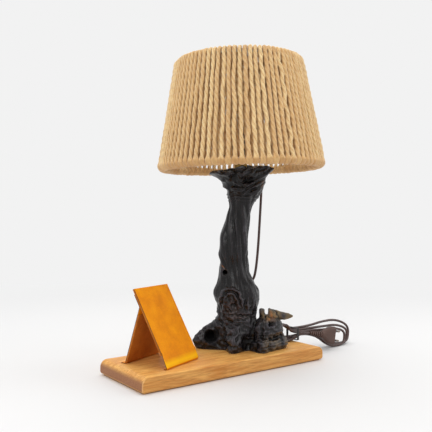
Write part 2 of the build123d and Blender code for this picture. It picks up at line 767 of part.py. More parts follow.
def strand_outline(middle, outwards, turn):
    """Closed row of rope strands seen end on, their crests on one circle."""
    pitch = 2 * math.pi * middle / ROPE_TURNS
    crest = middle + outwards * ROPE_RADIUS
    valley = crest - outwards * ROPE_VALLEY * pitch
    arcs = []
    half = 180.0 / ROPE_TURNS
    for angle in around(ROPE_TURNS, turn):
        start = polar(valley, angle - half)
        arcs.append(ThreePointArc(start, polar(crest, angle), polar(valley, angle + half)))
    return make_face(Curve() + arcs)


def wire_room():
    """The room between the rope's outer and inner layers, where the frame's wires run."""
    half = RING_WIRE_RADIUS + LAYER_ROOM
    return turned((LOWER_RING_RADIUS - half, -half), (LOWER_RING_RADIUS + half, -half),
                  (LOWER_RING_RADIUS + half, 0), (UPPER_RING_RADIUS + half, SHADE_HEIGHT),
                  (UPPER_RING_RADIUS + half, SHADE_HEIGHT + half), (UPPER_RING_RADIUS - half, SHADE_HEIGHT + half),
                  (UPPER_RING_RADIUS - half, SHADE_HEIGHT), (LOWER_RING_RADIUS - half, 0))


def rope_cover():
    """Rope wound up and down over both rings: an outer and an inner row of strands."""
    layer = RING_WIRE_RADIUS + ROPE_RADIUS
    rim = RING_WIRE_RADIUS + 2 * ROPE_RADIUS
    half_turn = 180.0 / ROPE_TURNS
    outer = []
    inner = []
    for level, ring_radius, tuck, sink in rope_levels(rim):
        outer.append(Pos(0, 0, level) * strand_outline(ring_radius + layer - tuck, 1, 0.0))
        inner.append(Pos(0, 0, level + sink) * strand_outline(ring_radius - layer + tuck, -1, half_turn))
    cover = loft(outer, ruled=True) - loft(inner, ruled=True) - wire_room()
    for arm in shade_arms(SEAT_GAP):
        cover -= arm
    return cover


def rope_levels(rim):
    """Heights of the cover's sections with the ring's radius, the tuck of the rim and the cut's overrun."""
    return (
        (-rim, LOWER_RING_RADIUS, rim * 0.6, -0.5),
        (-0.6 * rim, LOWER_RING_RADIUS, rim * 0.2, 0.0),
        (0.0, LOWER_RING_RADIUS, 0.0, 0.0),
        (SHADE_HEIGHT, UPPER_RING_RADIUS, 0.0, 0.0),
        (SHADE_HEIGHT + 0.6 * rim, UPPER_RING_RADIUS, rim * 0.2, 0.0),
        (SHADE_HEIGHT + rim, UPPER_RING_RADIUS, rim * 0.6, 0.5),
    )


def shade_nut():
    """Ring nut that holds the shade down on the shoulder, fluted for the fingers."""
    low = SHOULDER_TOP + 2 * RUNNING_GAP + FITTER_THICKNESS
    nut = ring(HOLDER_RADIUS + RUNNING_GAP, SHADE_NUT_RADIUS, low, low + SHADE_NUT_HEIGHT)
    for angle in around(SHADE_NUT_GRIPS):
        x, y = polar(SHADE_NUT_RADIUS + 0.8, angle)
        nut -= Pos(x, y, low + SHADE_NUT_HEIGHT / 2) * Cylinder(2.0, SHADE_NUT_HEIGHT + 2)
    return nut


def build_lamp():
    """Write the holder, the bulb and the shade, all on the leaning axis."""
    pieces = {
        "seat_collar": seat_collar(),
        "seat_screws": seat_screws(),
        "cord_grip": cord_grip(),
        "holder_nipple": holder_nipple(),
        "collar_nut": nipple_nut(COLLAR_TOP - COLLAR_WALL),
        "holder_nut": nipple_nut(COLLAR_TOP + HOLDER_WALL + NUT_THICKNESS),
        "holder_cap": holder_cap(),
        "holder_body": holder_body(),
        "contact_block": contact_block(),
        "terminal_screws": terminal_screws(),
        "centre_contact": centre_contact(),
        "screw_shell": screw_shell(),
        "bulb_tip": bulb_tip(),
        "bulb_insulator": bulb_insulator(),
        "bulb_cap": bulb_cap(),
        "bulb_glass": bulb_glass(),
        "shade_frame": shade_frame(),
        "rope_cover": rope_cover(),
        "shade_nut": shade_nut(),
    }
    for name, piece in pieces.items():
        save(LAMP_PLACE * piece, name)


# Flex

def route_radii(route):
    """Fillet radius at each corner of a route: 0.45 of its shorter run over the half turn's tangent."""
    radii = []
    for before, corner, after in zip(route, route[1:], route[2:]):
        first = Vector(*corner) - Vector(*before)
        second = Vector(*after) - Vector(*corner)
        half = math.radians(first.get_angle(second)) / 2
        radii.append(0.45 * min(first.length, second.length) / math.tan(half))
    return radii


def cord_tube(route):
    """Round flex along straight runs joined by tangent arcs."""
    radii = route_radii(route)
    print("radii", [round(radius, 1) for radius in radii])
    path = FilletPolyline(*route, radius=radii)
    section = Plane(origin=path @ 0, z_dir=path % 0) * Circle(CORD_RADIUS)
    tube = sweep(section, path=path)
    print("length", round(path.length, 1), "volume", round(tube.volume / (math.pi * CORD_RADIUS ** 2), 1))
    return tube


def biarc(start, start_way, end, end_way):
    """Two tangent arcs from one point and direction to another."""
    start, end = Vector(*start), Vector(*end)
    start_way, end_way = Vector(*start_way).normalized(), Vector(*end_way).normalized()
    gap = end - start
    ways = start_way + end_way
    spread = 2.0 * (1.0 - start_way.dot(end_way))
    along = gap.dot(ways)
    if spread < 1e-9:
        reach = gap.dot(gap) / (4.0 * gap.dot(end_way))
    else:
        reach = (math.sqrt(along * along + spread * gap.dot(gap)) - along) / spread
    first = start + start_way * reach
    last = end - end_way * reach
    middle = (first + last) * 0.5
    return [TangentArc(start, middle, tangent=start_way), TangentArc(middle, end, tangent=last - first)]


def hank_stations():
    """Points and directions that the hanked flex passes, loop after loop."""
    right, left, up, down = (1, 0, 0), (-1, 0, 0), (0, 0, 1), (0, 0, -1)
    start = FEED_ROUTE[-1]
    stations = [(start, right), ((start[0] + 2 * CORD_RADIUS, start[1], start[2]), right)]
    y = HANK_BACK_Y
    for loop, (crest, far, low) in enumerate(HANK_ENDS):
        y = HANK_BACK_Y - loop * HANK_STEP
        next_y = y - HANK_STEP
        stations += [
            ((WAIST_LEFT_X, y, WAIST_LOW), right),
            ((WAIST_RIGHT_X, y, WAIST_LOW), right),
            ((low[0], y - HANK_LEAN, low[1]), right),
            ((far[0], y - HANK_LEAN / 2, far[1]), up),
            ((crest[0], y, crest[1]), left),
            ((WAIST_RIGHT_X, next_y, WAIST_HIGH), left),
            ((WAIST_LEFT_X, next_y, WAIST_HIGH), left),
            ((FOLD_LEFT_X, next_y, FOLD_HIGH), left),
            ((FOLD_LEFT_X - (FOLD_HIGH - FOLD_LOW) / 2, next_y, (FOLD_HIGH + FOLD_LOW) / 2), down),
            ((FOLD_LEFT_X, next_y, FOLD_LOW), right),
        ]
    fall = math.radians(PLUG_FALL)
    way = (math.cos(fall), 0, -math.sin(fall))
    neck = Vector(PLUG_NECK[0], PLUG_Y, PLUG_NECK[1])
    stations.append((tuple(neck - Vector(*way) * 2 * CORD_RADIUS), way))
    stations.append((tuple(neck), way))
    return stations


def hank_edges():
    """Lines and arcs through the stations."""
    edges = []
    stations = hank_stations()
    for (start, way), (end, end_way) in zip(stations, stations[1:]):
        run = Vector(*end) - Vector(*start)
        straight = run.normalized().dot(Vector(*way).normalized()) > 0.999999
        if straight and way == end_way:
            edges.append(Line(start, end))
        else:
            edges += biarc(start, way, end, end_way)
    return edges


def self_gap(edges):
    """Least gap of the hanked flex to itself, measured on points well apart along it."""
    points = []
    travelled = 0.0
    for edge in edges:
        count = max(2, int(edge.length / 3.0))
        for step in range(count):
            points.append((travelled + edge.length * step / count, edge @ (step / count)))
        travelled += edge.length
    least = 1e9
    for index, (here, point) in enumerate(points):
        for there, other in points[index + 1:]:
            if there - here > 30.0:
                least = min(least, (point - other).length)
    return least - 2 * CORD_RADIUS


def cord_hank():
    """The hanked length of the flex, one unbroken tube from the board to the plug."""
    edges = hank_edges()
    path = Wire(edges)
    print("hank length", round(path.length, 1), "least gap", round(self_gap(edges), 2))
    section = Plane(origin=path @ 0, z_dir=path % 0) * RegularPolygon(CORD_RADIUS, HANK_SIDES)
    return sweep(section, path=path)


def hank_tie():
    """Flat tie round the waist of the hank and the plug's lead, which has drifted off it there."""
    loose = RUNNING_GAP + CORD_RADIUS
    low_y = HANK_BACK_Y - HANK_LOOPS * HANK_STEP - TIE_LEAD_DRIFT - loose
    high_y = HANK_BACK_Y + loose
    low_z = WAIST_LOW - loose
    high_z = WAIST_HIGH + loose
    hole = Rectangle(high_y - low_y, high_z - low_z)
    outer = RectangleRounded(high_y - low_y + 2 * TIE_THICKNESS, high_z - low_z + 2 * TIE_THICKNESS, 2.0)
    band = extrude(outer - fillet(hole.vertices(), 1.2), TIE_WIDTH / 2, both=True)
    plane = Plane(origin=(TIE_X, (low_y + high_y) / 2, (low_z + high_z) / 2), x_dir=(0, 1, 0), z_dir=(1, 0, 0))
    return plane * band


# Switch on the flex, in a frame with its length along Z, its button towards the back

def switch_outline():
    """Long rounded outline of the switch, narrowing to the flex at both ends."""
    half = SWITCH_LENGTH / 2
    wide = SWITCH_WIDTH / 2
    end = GRIP_RADIUS
    outline = Polyline((-end, -half), (end, -half), (wide, -half + 13), (wide, half - 13), (end, half),
                       (-end, half), (-wide, half - 13), (-wide, -half + 13), close=True)
    return fillet(make_face(outline).vertices(), 2.0)


def switch_half(front):
    """One shell of the switch: the front one is open for the rocker."""
    depth = SWITCH_DEPTH / 2
    shell = extrude(switch_outline(), depth)
    shell = fillet(shell.faces().sort_by(Axis.Z)[-1].edges(), 1.6)
    shell -= extrude(offset(switch_outline(), -SWITCH_WALL), depth - SWITCH_WALL)
    for x, y in switch_posts():
        shell += Pos(x, y, 0) * extrude(Circle(POST_RADIUS), depth - SWITCH_WALL / 2)
        bore = SWITCH_SCREW_RADIUS + (0 if front else SEAT_GAP)
        shell -= Pos(x, y, 0) * extrude(Circle(bore), depth - SWITCH_WALL if front else depth)
        if not front:
            shell -= Pos(x, y, depth) * Cylinder(SWITCH_HEAD_RADIUS + SEAT_GAP, 2 * SWITCH_HEAD_DEPTH)
    shell -= Rot(90, 0, 0) * Cylinder(CORD_RADIUS + SEAT_GAP, SWITCH_LENGTH + 2)
    if front:
        shell -= Pos(0, 0, depth) * Box(ROCKER_WIDTH + 2 * RUNNING_GAP, ROCKER_LENGTH, 6)
        for side in (-1, 1):
            shell += rocker_ear(side)
    return shell


def switch_posts():
    """Places of the two screws that close the switch."""
    return ((POST_ACROSS, POST_ALONG), (-POST_ACROSS, -POST_ALONG))


def switch_screws():
    """Screws through the back shell into the posts of the front one."""
    face = SWITCH_DEPTH / 2 - SWITCH_HEAD_DEPTH
    shank = SWITCH_SCREW_RADIUS
    screw = turned((0, face + 1.2), (SWITCH_HEAD_RADIUS, face + 1.2), (SWITCH_HEAD_RADIUS, face),
                   (shank, face), (shank, face - SWITCH_SCREW_LENGTH), (0, face - SWITCH_SCREW_LENGTH))
    return Compound([Pos(x, y, 0) * screw for x, y in switch_posts()])


def rocker_ear(side):
    """Ear beside the rocker that holds one end of its pin."""
    x = side * (ROCKER_WIDTH / 2 + RUNNING_GAP + 0.9)
    ear = Pos(x, 0, ROCKER_LEVEL + 1.0) * Box(1.8, 5.0, 6.0)
    return ear - Pos(x, 0, ROCKER_LEVEL) * Rot(0, 90, 0) * Cylinder(ROCKER_PIN + PIN_FIT, 3)


def switch_rocker():
    """Rocker with a bent back and round ends, its pin moulded on."""
    half = ROCKER_LENGTH / 2 - RUNNING_GAP
    rise = half * math.sin(math.radians(ROCKER_TRAVEL / 2))
    top = SWITCH_DEPTH / 2
    low = ROCKER_LEVEL - 1.0
    outline = Polyline((-half, low), (half, low), (half, top + 2 * rise), (0, top + 0.4), (-half, top - 0.4),
                       close=True)
    rocker = extrude(Plane.YZ * make_face(outline), ROCKER_WIDTH / 2, both=True)
    pin_place = Pos(0, 0, ROCKER_LEVEL) * Rot(0, 90, 0)
    rocker &= pin_place * Cylinder(half, ROCKER_WIDTH + 2)
    return rocker + pin_place * Cylinder(ROCKER_PIN, ROCKER_WIDTH + 3.0)


def switch_contact():
    """Brass strip on the back shell's floor, with its two arms bent up under the rocker's ends."""
    low = -SWITCH_DEPTH / 2 + SWITCH_WALL
    strip = Pos(0, 0, low + 0.4) * Box(4.0, 15.0, 0.8)
    for side in (-1, 1):
        strip += Pos(0, side * 7.1, low + 4.0) * Box(4.0, 0.8, 8.0)
    return strip


def build_switch():
    """Write the switch's pieces where they hang on the flex."""
    turn = math.radians(TRUNK_TURN)
    middle = SWITCH_BOTTOM + SWITCH_LENGTH / 2
    plane = Plane(origin=(SWITCH_X, SWITCH_Y, middle), x_dir=(-math.cos(turn), math.sin(turn), 0),
                  z_dir=(math.sin(turn), math.cos(turn), 0))
    place = plane.location
    save(place * switch_half(True), "switch_front_shell")
    save(place * Rot(0, 180, 0) * switch_half(False), "switch_back_shell")
    save(place * Rot(0, 180, 0) * switch_screws(), "switch_screws")
    save(place * switch_rocker(), "switch_rocker")
    save(place * switch_contact(), "switch_contact")


# Plug, in a frame with its flex entering at the origin and its face up the Z axis

def plug_place():
    """Frame of the plug where it lies beside the hank."""
    fall = math.radians(PLUG_FALL)
    plane = Plane(origin=(PLUG_NECK[0], PLUG_Y, PLUG_NECK[1]), x_dir=(0, 1, 0),
                  z_dir=(math.cos(fall), 0, -math.sin(fall)))
    return plane.location


def plug_tail():
    """Ribbed sleeve that guards the flex."""
    points = [(0, 0)]
    step = PLUG_TAIL / PLUG_RIBS
    for rib in range(PLUG_RIBS):
        radius = PLUG_NECK_RADIUS + (PLUG_TAIL_RADIUS - PLUG_NECK_RADIUS) * rib / (PLUG_RIBS - 1)
        low = rib * step
        points += [(radius, low), (radius, low + step * 0.62), (radius - 1.1, low + step * 0.62),
                   (radius - 1.1, low + step)]
    points += [(PLUG_TAIL_RADIUS - 1.1, PLUG_TAIL + 2), (0, PLUG_TAIL + 2)]
    return turned(*points)


def plug_body():
    """Flat plug moulded on the flex, with its ribbed tail and the seats of its pins."""
    sections = []
    for along, width, depth, corner in PLUG_SECTIONS:
        outline = RectangleRounded(depth * PLUG_FACE_DEPTH, width * PLUG_FACE_WIDTH, corner)
        sections.append(Pos(0, 0, PLUG_TAIL + along * PLUG_BODY) * outline)
    body = loft(sections) + plug_tail()
    for side in (-1, 1):
        seat = Cylinder(PIN_ROOT_RADIUS, 2 * PIN_SEAT)
        body -= Pos(0, side * PIN_SPACING / 2, PLUG_TAIL + PLUG_BODY) * seat
    return body


def plug_pins():
    """Round pins with thinner roots under their sleeves."""
    face = PLUG_TAIL + PLUG_BODY
    sleeve = face + SLEEVE_LENGTH
    tip = face + PIN_LENGTH
    pin = turned((0, face - PIN_SEAT), (PIN_ROOT_RADIUS, face - PIN_SEAT), (PIN_ROOT_RADIUS, sleeve),
                 (PIN_RADIUS, sleeve), (PIN_RADIUS, tip - 1.5), (PIN_RADIUS - 0.9, tip), (0, tip))
    return Compound([Pos(0, side * PIN_SPACING / 2, 0) * pin for side in (-1, 1)])


def plug_pin_sleeves():
    """Dark insulating sleeves on the pins, between the plug's face and their bare ends."""
    face = PLUG_TAIL + PLUG_BODY
    sleeve = ring(PIN_ROOT_RADIUS, PIN_RADIUS, face, face + SLEEVE_LENGTH)
    return Compound([Pos(0, side * PIN_SPACING / 2, 0) * sleeve for side in (-1, 1)])


def build_plug():
    """Write the plug's pieces."""
    save(plug_place() * plug_body(), "plug_body")
    save(plug_place() * plug_pins(), "plug_pins")
    save(plug_place() * plug_pin_sleeves(), "plug_pin_sleeves")


if __name__ == "__main__":
    os.makedirs("parts", exist_ok=True)
    save(base_board(), "base_board")
    save(felt_sheet(), "felt_sheet")
    save(trunk_screws(), "trunk_screws")
    save(trunk(), "trunk")
    build_stand()
    build_lamp()
    save(cord_tube(DROP_ROUTE), "cord_drop")
    save(cord_tube(FEED_ROUTE), "cord_feed")
    save(cord_hank(), "cord_hank")
    save(hank_tie(), "hank_tie")
    build_switch()
    build_plug()
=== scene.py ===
"""Table lamp with a rope-wound shade, a knotty dark trunk, a plank and a leather telephone stand.

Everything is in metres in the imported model's frame: +Z up, +X along the board towards the
lamp, +Y away from the board's front edge, and the origin on the table under the board.
"""
import logging
import math
from dataclasses import dataclass, field
from enum import Enum

import bmesh
import bpy
import numpy as np
from bpy.types import ID, Material, Mesh, Node, NodeSocket, Object
from mathutils import Matrix, Vector, noise


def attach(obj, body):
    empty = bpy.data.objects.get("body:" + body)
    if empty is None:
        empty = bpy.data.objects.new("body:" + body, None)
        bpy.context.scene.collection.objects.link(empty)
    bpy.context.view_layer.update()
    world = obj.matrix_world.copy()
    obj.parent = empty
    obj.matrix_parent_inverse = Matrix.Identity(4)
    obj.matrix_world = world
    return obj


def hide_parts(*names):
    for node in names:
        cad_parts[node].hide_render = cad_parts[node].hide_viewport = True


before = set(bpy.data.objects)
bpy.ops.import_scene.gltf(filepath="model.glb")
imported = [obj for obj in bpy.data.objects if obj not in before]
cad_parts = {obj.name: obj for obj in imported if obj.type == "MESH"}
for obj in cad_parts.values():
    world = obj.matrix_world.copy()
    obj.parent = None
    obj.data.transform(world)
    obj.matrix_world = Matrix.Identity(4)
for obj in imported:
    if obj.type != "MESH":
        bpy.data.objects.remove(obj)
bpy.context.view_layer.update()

log = logging.getLogger("lamp")
MM = 0.001
Array = np.ndarray
Triple = tuple[float, float, float]
Stops = tuple[tuple[float, Triple], ...]


# Helpers


def srgb(red: float, green: float, blue: float) -> tuple[float, float, float, float]:
    """Turn a colour as it is seen on a screen, 0 to 255, into a linear one with full alpha."""
    parts = [part / 255.0 for part in (red, green, blue)]
    return (*(part / 12.92 if part <= 0.04045 else ((part + 0.055) / 1.055) ** 2.4 for part in parts), 1.0)


def toned(colour: Triple, factor: float, lift: float = 0.0) -> Triple:
    """Give a colour made darker or lighter."""
    return tuple(min(factor * part + lift, 255.0) for part in colour)


def held(values: Array) -> Array:
    """Hold values between 0 and 1."""
    return np.clip(values, 0.0, 1.0)


def rise(values: Array, start: float, length: float) -> Array:
    """Give 0 before a start, 1 from a length past it, and a ramp between; it falls if that is negative."""
    return held((values - start) / length)


def field_of(points: Array, scale: float | Triple, seed: float = 0.0) -> Array:
    """Give smooth noise, about -1 to 1, whose swells have that scale; a seed shifts it to another field."""
    return np.array([noise.noise(Vector(row)) for row in points / np.array(scale) + seed])


def add_object(name: str, data: ID) -> Object:
    """Link a new object into the scene.

    Args:
        name: The object's name.
        data: Its mesh, curve, lamp or camera.

    Returns:
        The object.
    """
    thing = bpy.data.objects.new(name, data)
    bpy.context.scene.collection.objects.link(thing)
    return thing


# Node materials


class Graph:
    """Node tree of a material or a world, with short calls for the nodes that the looks share."""

    def __init__(self, name: str, kind: str = "materials") -> None:
        """Start a material or a world.

        Args:
            name: Its name.
            kind: Blender's collection for it, materials or worlds.
        """
        self.owner = getattr(bpy.data, kind).new(name)
        self.owner.use_nodes = True
        self.tree = self.owner.node_tree
        self.shader = self.tree.nodes.get("Principled BSDF")

    def feed(self, socket: NodeSocket, value: object) -> None:
        """Link a node's output into a socket, or set its value.

        Args:
            socket: The socket.
            value: Another node's output, a plain value, or a tuple for a colour, 0 to 255.
        """
        if isinstance(value, NodeSocket):
            self.tree.links.new(value, socket)
        else:
            socket.default_value = srgb(*value) if isinstance(value, tuple) else value

    def add(self, kind: str, inputs: dict[str | int, object] | None = None, **settings: object) -> Node:
        """Add a node.

        Args:
            kind: The node's type.
            inputs: What its inputs are fed, by their name or number.
            **settings: Its own settings.

        Returns:
            The node.
        """
        node = self.tree.nodes.new(kind)
        for key, value in settings.items():
            setattr(node, key, value)
        for key, value in (inputs or {}).items():
            self.feed(node.inputs[key], value)
        return node

    def place(self, scale: Triple = (1.0, 1.0, 1.0), tilt: float = 0.0,
              where: NodeSocket | None = None) -> NodeSocket:
        """Give scaled coordinates.

        Args:
            scale: Factor along each axis.
            tilt: Turn about Y in degrees.
            where: Coordinates to scale, or the piece's own in metres.

        Returns:
            A vector socket.
        """
        if where is None:
            where = self.add("ShaderNodeTexCoord").outputs["Object"]
        turn = [0.0, math.radians(tilt), 0.0]
        return self.add("ShaderNodeMapping", {"Vector": where, "Rotation": turn,
                                              "Scale": list(scale)}).outputs["Vector"]

    def noise(self, scale: float, detail: float, roughness: float, distortion: float = 0.0,
              where: NodeSocket | None = None) -> NodeSocket:
        """Give cloudy noise, 0 to 1, at a scale per unit of the coordinates."""
        return self.add("ShaderNodeTexNoise", {
            "Vector": self.place() if where is None else where, "Scale": scale, "Detail": detail,
            "Roughness": roughness, "Distortion": distortion}).outputs["Fac"]

    def stored(self, name: str) -> NodeSocket:
        """Give a number stored on the mesh's points."""
        return self.add("ShaderNodeAttribute", attribute_name=name).outputs["Fac"]

    def maths(self, operation: str, first: object, second: object = 0.5, clamp: bool = False) -> NodeSocket:
        """Give the result of one sum on numbers."""
        return self.add("ShaderNodeMath", {0: first, 1: second}, operation=operation,
                        use_clamp=clamp).outputs[0]

    def times(self, first: object, second: object) -> NodeSocket:
        """Give the product of two numbers."""
        return self.maths("MULTIPLY", first, second)

    def plus(self, first: object, second: object, share: float) -> NodeSocket:
        """Give a number plus a share of another."""
        return self.maths("ADD", first, self.times(second, share))

    def span(self, value: object, low: float, high: float, start: float = 0.0,
             end: float = 1.0) -> NodeSocket:
        """Carry a number from one range into another, held at its ends."""
        return self.add("ShaderNodeMapRange", {"Value": value, "From Min": low, "From Max": high,
                                               "To Min": start, "To Max": end}).outputs["Result"]

    def ramp(self, factor: NodeSocket, stops: Stops) -> NodeSocket:
        """Turn a factor into a colour.

        Args:
            factor: A number from 0 to 1.
            stops: Places on the ramp with their colours.

        Returns:
            A colour socket.
        """
        node = self.add("ShaderNodeValToRGB", {"Fac": factor})
        elements = node.color_ramp.elements
        while len(elements) < len(stops):
            elements.new(0.5)
        for element, (place, colour) in zip(elements, stops):
            element.position = place
            element.color = srgb(*colour)
        return node.outputs["Color"]

    def mix(self, factor: object, first: object, second: object, blend: str = "MIX") -> NodeSocket:
        """Mix two colours by a factor."""
        return self.add("ShaderNodeMix", {0: factor, 6: first, 7: second}, data_type="RGBA",
                        blend_type=blend).outputs[2]

    def stain(self, colour: object, factor: NodeSocket, low: float, high: float, share: float,
              tint: Triple, blend: str = "MIX") -> NodeSocket:
        """Mix a tint into a colour, up to a share, where a factor goes from low to high."""
        return self.mix(self.span(factor, low, high, 0.0, share), colour, tint, blend)

    def bump(self, height: NodeSocket, step: float, strength: float = 1.0) -> NodeSocket:
        """Give a normal that follows a height from 0 to 1, whose full step is in millimetres."""
        return self.add("ShaderNodeBump", {"Strength": strength, "Distance": step * MM,
                                           "Height": height}).outputs["Normal"]

    def finish(self, colour: object, roughness: object, normal: NodeSocket | None = None,
               **sockets: object) -> Material:
        """Connect the shader.

        Args:
            colour: Base colour.
            roughness: Roughness.
            normal: Bumped normal.
            **sockets: Other inputs of the shader, with underscores for spaces.

        Returns:
            The finished material.
        """
        fed = {"Base Color": colour, "Roughness": roughness, "Normal": normal, **sockets}
        for name, value in fed.items():
            if value is not None:
                self.feed(self.shader.inputs[name.replace("_", " ")], value)
        return self.owner


@dataclass(frozen=True)
class PlankFinish:
    """Oiled plank with its grain along X and darker, pinker ends, painted shade on its front and back faces
    and a painted highlight on its upright corners.
    """

    bands: Stops = ((0.30, (222, 150, 68)), (0.46, (255, 200, 114)), (0.56, (230, 164, 84)),
                    (0.72, (255, 200, 114)))
    streak: Triple = (182, 112, 54)
    pore: Triple = (132, 76, 40)
    # Multiplied into the front and back faces as painted shade
    side: Triple = (212, 196, 186)
    end: Triple = (172, 118, 78)
    end_pore: Triple = (128, 80, 50)
    # Painted highlight on the rounded upright corners
    corner: Triple = (222, 178, 132)

    def material(self) -> Material:
        """Build the plank's material.

        Returns:
            The material.
        """
        g = Graph("plank")
        bands = g.noise(3.4, 3.0, 0.55, 0.6, g.place((2.2, 22.0, 26.0), 3.0))
        streaks = g.noise(3.0, 4.0, 0.65, where=g.place((7.0, 230.0, 230.0)))
        pores = g.noise(1.2, 2.0, 0.5, where=g.place((55.0, 1500.0, 1500.0)))
        grain = g.stain(g.ramp(bands, self.bands), streaks, 0.4, 0.7, 0.6, self.streak)
        grain = g.stain(grain, pores, 0.54, 0.72, 0.5, self.pore)
        normal = g.add("ShaderNodeSeparateXYZ", {0: g.add("ShaderNodeNewGeometry").outputs["Normal"]})
        endwise, sideways = (g.maths("ABSOLUTE", normal.outputs[axis]) for axis in (0, 1))
        # Painted shade: the front and back faces are darkened against the top
        grain = g.stain(grain, sideways, 0.6, 0.98, 0.6, self.side, "MULTIPLY")
        end = g.mix(g.span(pores, 0.4, 0.7), self.end, self.end_pore)
        colour = g.mix(g.span(endwise, 0.72, 0.98), grain, end)
        # Painted highlight along the rounded upright corners between the ends and the long faces
        colour = g.stain(colour, g.times(endwise, sideways), 0.2, 0.45, 0.5, self.corner)
        relief = g.bump(g.plus(streaks, pores, 0.8), 0.25, 0.5)
        return g.finish(colour, g.span(streaks, 0.3, 0.8, 0.42, 0.6), relief, Specular_IOR_Level=0.24)


@dataclass(frozen=True)
class CharredWoodFinish:
    """Dark stained wood with a satin sheen, worn grey on its crests, painted shade in its grooves and
    caves, painted light on its foot and painted shade on its head, with bark and bare patches.
    """

    char: Stops = ((0.36, (6, 4, 4)), (0.6, (20, 18, 19)), (0.78, (38, 35, 38)), (1.0, (70, 67, 73)))
    bark: Stops = ((0.36, (24, 20, 17)), (0.6, (66, 57, 44)), (0.85, (122, 102, 72)))
    bare: Stops = ((0.35, (104, 62, 34)), (0.55, (158, 104, 58)), (0.75, (190, 134, 80)))
    blotch: Triple = (26, 15, 14)
    painted_cave_shade: Triple = (3, 2, 2)

    def material(self) -> Material:
        """Build the trunk's material.

        Returns:
            The material.
        """
        g = Graph("charred_wood")
        crest_wear_and_painted_light, bare, bark, painted_cave_shade = (g.stored(name) for name in ("crest_wear_and_painted_light", "bare", "bark", "painted_cave_shade"))
        grain = g.noise(1.0, 5.0, 0.65, 0.4, g.place((420.0, 420.0, 36.0)))
        fine = g.noise(620.0, 4.0, 0.6)
        # Worn grey on the crests; painted shade in the grooves, painted light on the foot and painted shade
        # on the head
        tone = g.plus(g.times(crest_wear_and_painted_light, 0.7), grain, 0.45)
        colour = g.stain(g.ramp(tone, self.char), g.noise(42.0, 4.0, 0.6), 0.54, 0.72, 0.4, self.blotch)
        colour = g.mix(bark, colour, g.ramp(tone, self.bark))
        open_wood = g.maths("MULTIPLY", bare, g.span(crest_wear_and_painted_light, 0.2, 0.5), clamp=True)
        colour = g.mix(open_wood, colour, g.ramp(grain, self.bare))
        dull = g.plus(g.times(bare, 0.5), bark, 0.25)
        rough = g.span(g.plus(dull, grain, 0.6), 0.2, 0.9, 0.2, 0.56)
        # Painted shade: the caves are filled with near-black and kept rough so that they show no highlight
        return g.finish(g.mix(painted_cave_shade, colour, self.painted_cave_shade), g.maths("MAXIMUM", rough, painted_cave_shade),
                        g.bump(g.plus(grain, fine, 0.3), 0.4, 0.55), Specular_IOR_Level=0.25)


@dataclass(frozen=True)
class JuteFinish:
    """Straw-coloured twisted rope with a painted highlight on its ply crests and painted shade between
    them, with fine fibres along the plies.
    """

    strand: Stops = ((0.12, (158, 108, 56)), (0.55, (239, 201, 142)), (1.0, (255, 230, 178)))
    cloud: Triple = (206, 158, 100)
    darker_turn: Triple = (196, 150, 96)
    hair: Triple = (255, 234, 196)

    def material(self) -> Material:
        """Build the rope's material.

        Returns:
            The material.
        """
        g = Graph("jute")
        lay = g.add("ShaderNodeUVMap", uv_map="lay").outputs["UV"]
        fibres = g.noise(1.0, 4.0, 0.7, where=g.place((46.0, 210.0, 1.0), where=lay))
        hairs = g.noise(1300.0, 3.0, 0.7)
        # The crest number paints a highlight on the ply crests and shade in the grooves between plies
        colour = g.ramp(g.plus(g.times(g.stored("crest"), 0.8), fibres, 0.35), self.strand)
        colour = g.stain(colour, g.noise(95.0, 3.0, 0.6), 0.45, 0.72, 0.35, self.cloud)
        colour = g.stain(colour, g.stored("tone"), 0.0, 1.0, 0.4, self.darker_turn, "MULTIPLY")
        colour = g.stain(colour, hairs, 0.56, 0.72, 0.3, self.hair)
        return g.finish(colour, 0.86, g.bump(g.plus(fibres, hairs, 0.35), 1.1, 0.95),
                        Specular_IOR_Level=0.2, Sheen_Weight=0.25, Sheen_Roughness=0.5)


@dataclass(frozen=True)
class LeatherFinish:
    """Waxed tan leather with a fine pebbled grain, and a painted highlight along the lower bend."""

    name: str = "leather"
    face: Triple = (234, 142, 4)
    light: Triple = (246, 160, 12)
    shade: Triple = (216, 122, 2)
    # Painted highlight along the lower bend
    painted_bend_highlight: Triple = (255, 196, 0)

    def material(self) -> Material:
        """Build the leather's material.

        Returns:
            The material.
        """
        g = Graph(self.name)
        cloud = g.noise(34.0, 6.0, 0.72)
        pebble = g.add("ShaderNodeTexVoronoi", {"Vector": g.place(), "Scale": 900.0},
                       feature="SMOOTH_F1").outputs["Distance"]
        colour = g.ramp(cloud, ((0.30, self.shade), (0.5, self.face), (0.72, self.light)))
        colour = g.stain(colour, pebble, 0.3, 0.75, 0.2, toned(self.shade, 0.8))
        # Painted highlight where the band number marks the lower bend
        colour = g.mix(g.times(g.stored("band"), 0.9), colour, self.painted_bend_highlight)
        height = g.plus(g.times(pebble, -1.0), g.noise(1500.0, 3.0, 0.6), 0.4)
        return g.finish(colour, g.span(cloud, 0.3, 0.7, 0.46, 0.56), g.bump(height, 0.16, 0.6),
                        Specular_IOR_Level=0.12)


@dataclass(frozen=True)
class FeltFinish:
    """Pressed tan felt."""

    colour: Triple = (150, 112, 76)
    fluff: Triple = (176, 138, 100)

    def material(self) -> Material:
        """Build the felt's material.

        Returns:
            The material.
        """
        g = Graph("felt")
        fluff = g.noise(900.0, 5.0, 0.75)
        colour = g.stain(self.colour, fluff, 0.35, 0.7, 1.0, self.fluff)
        return g.finish(colour, 0.95, g.bump(fluff, 0.4), Sheen_Weight=0.3)


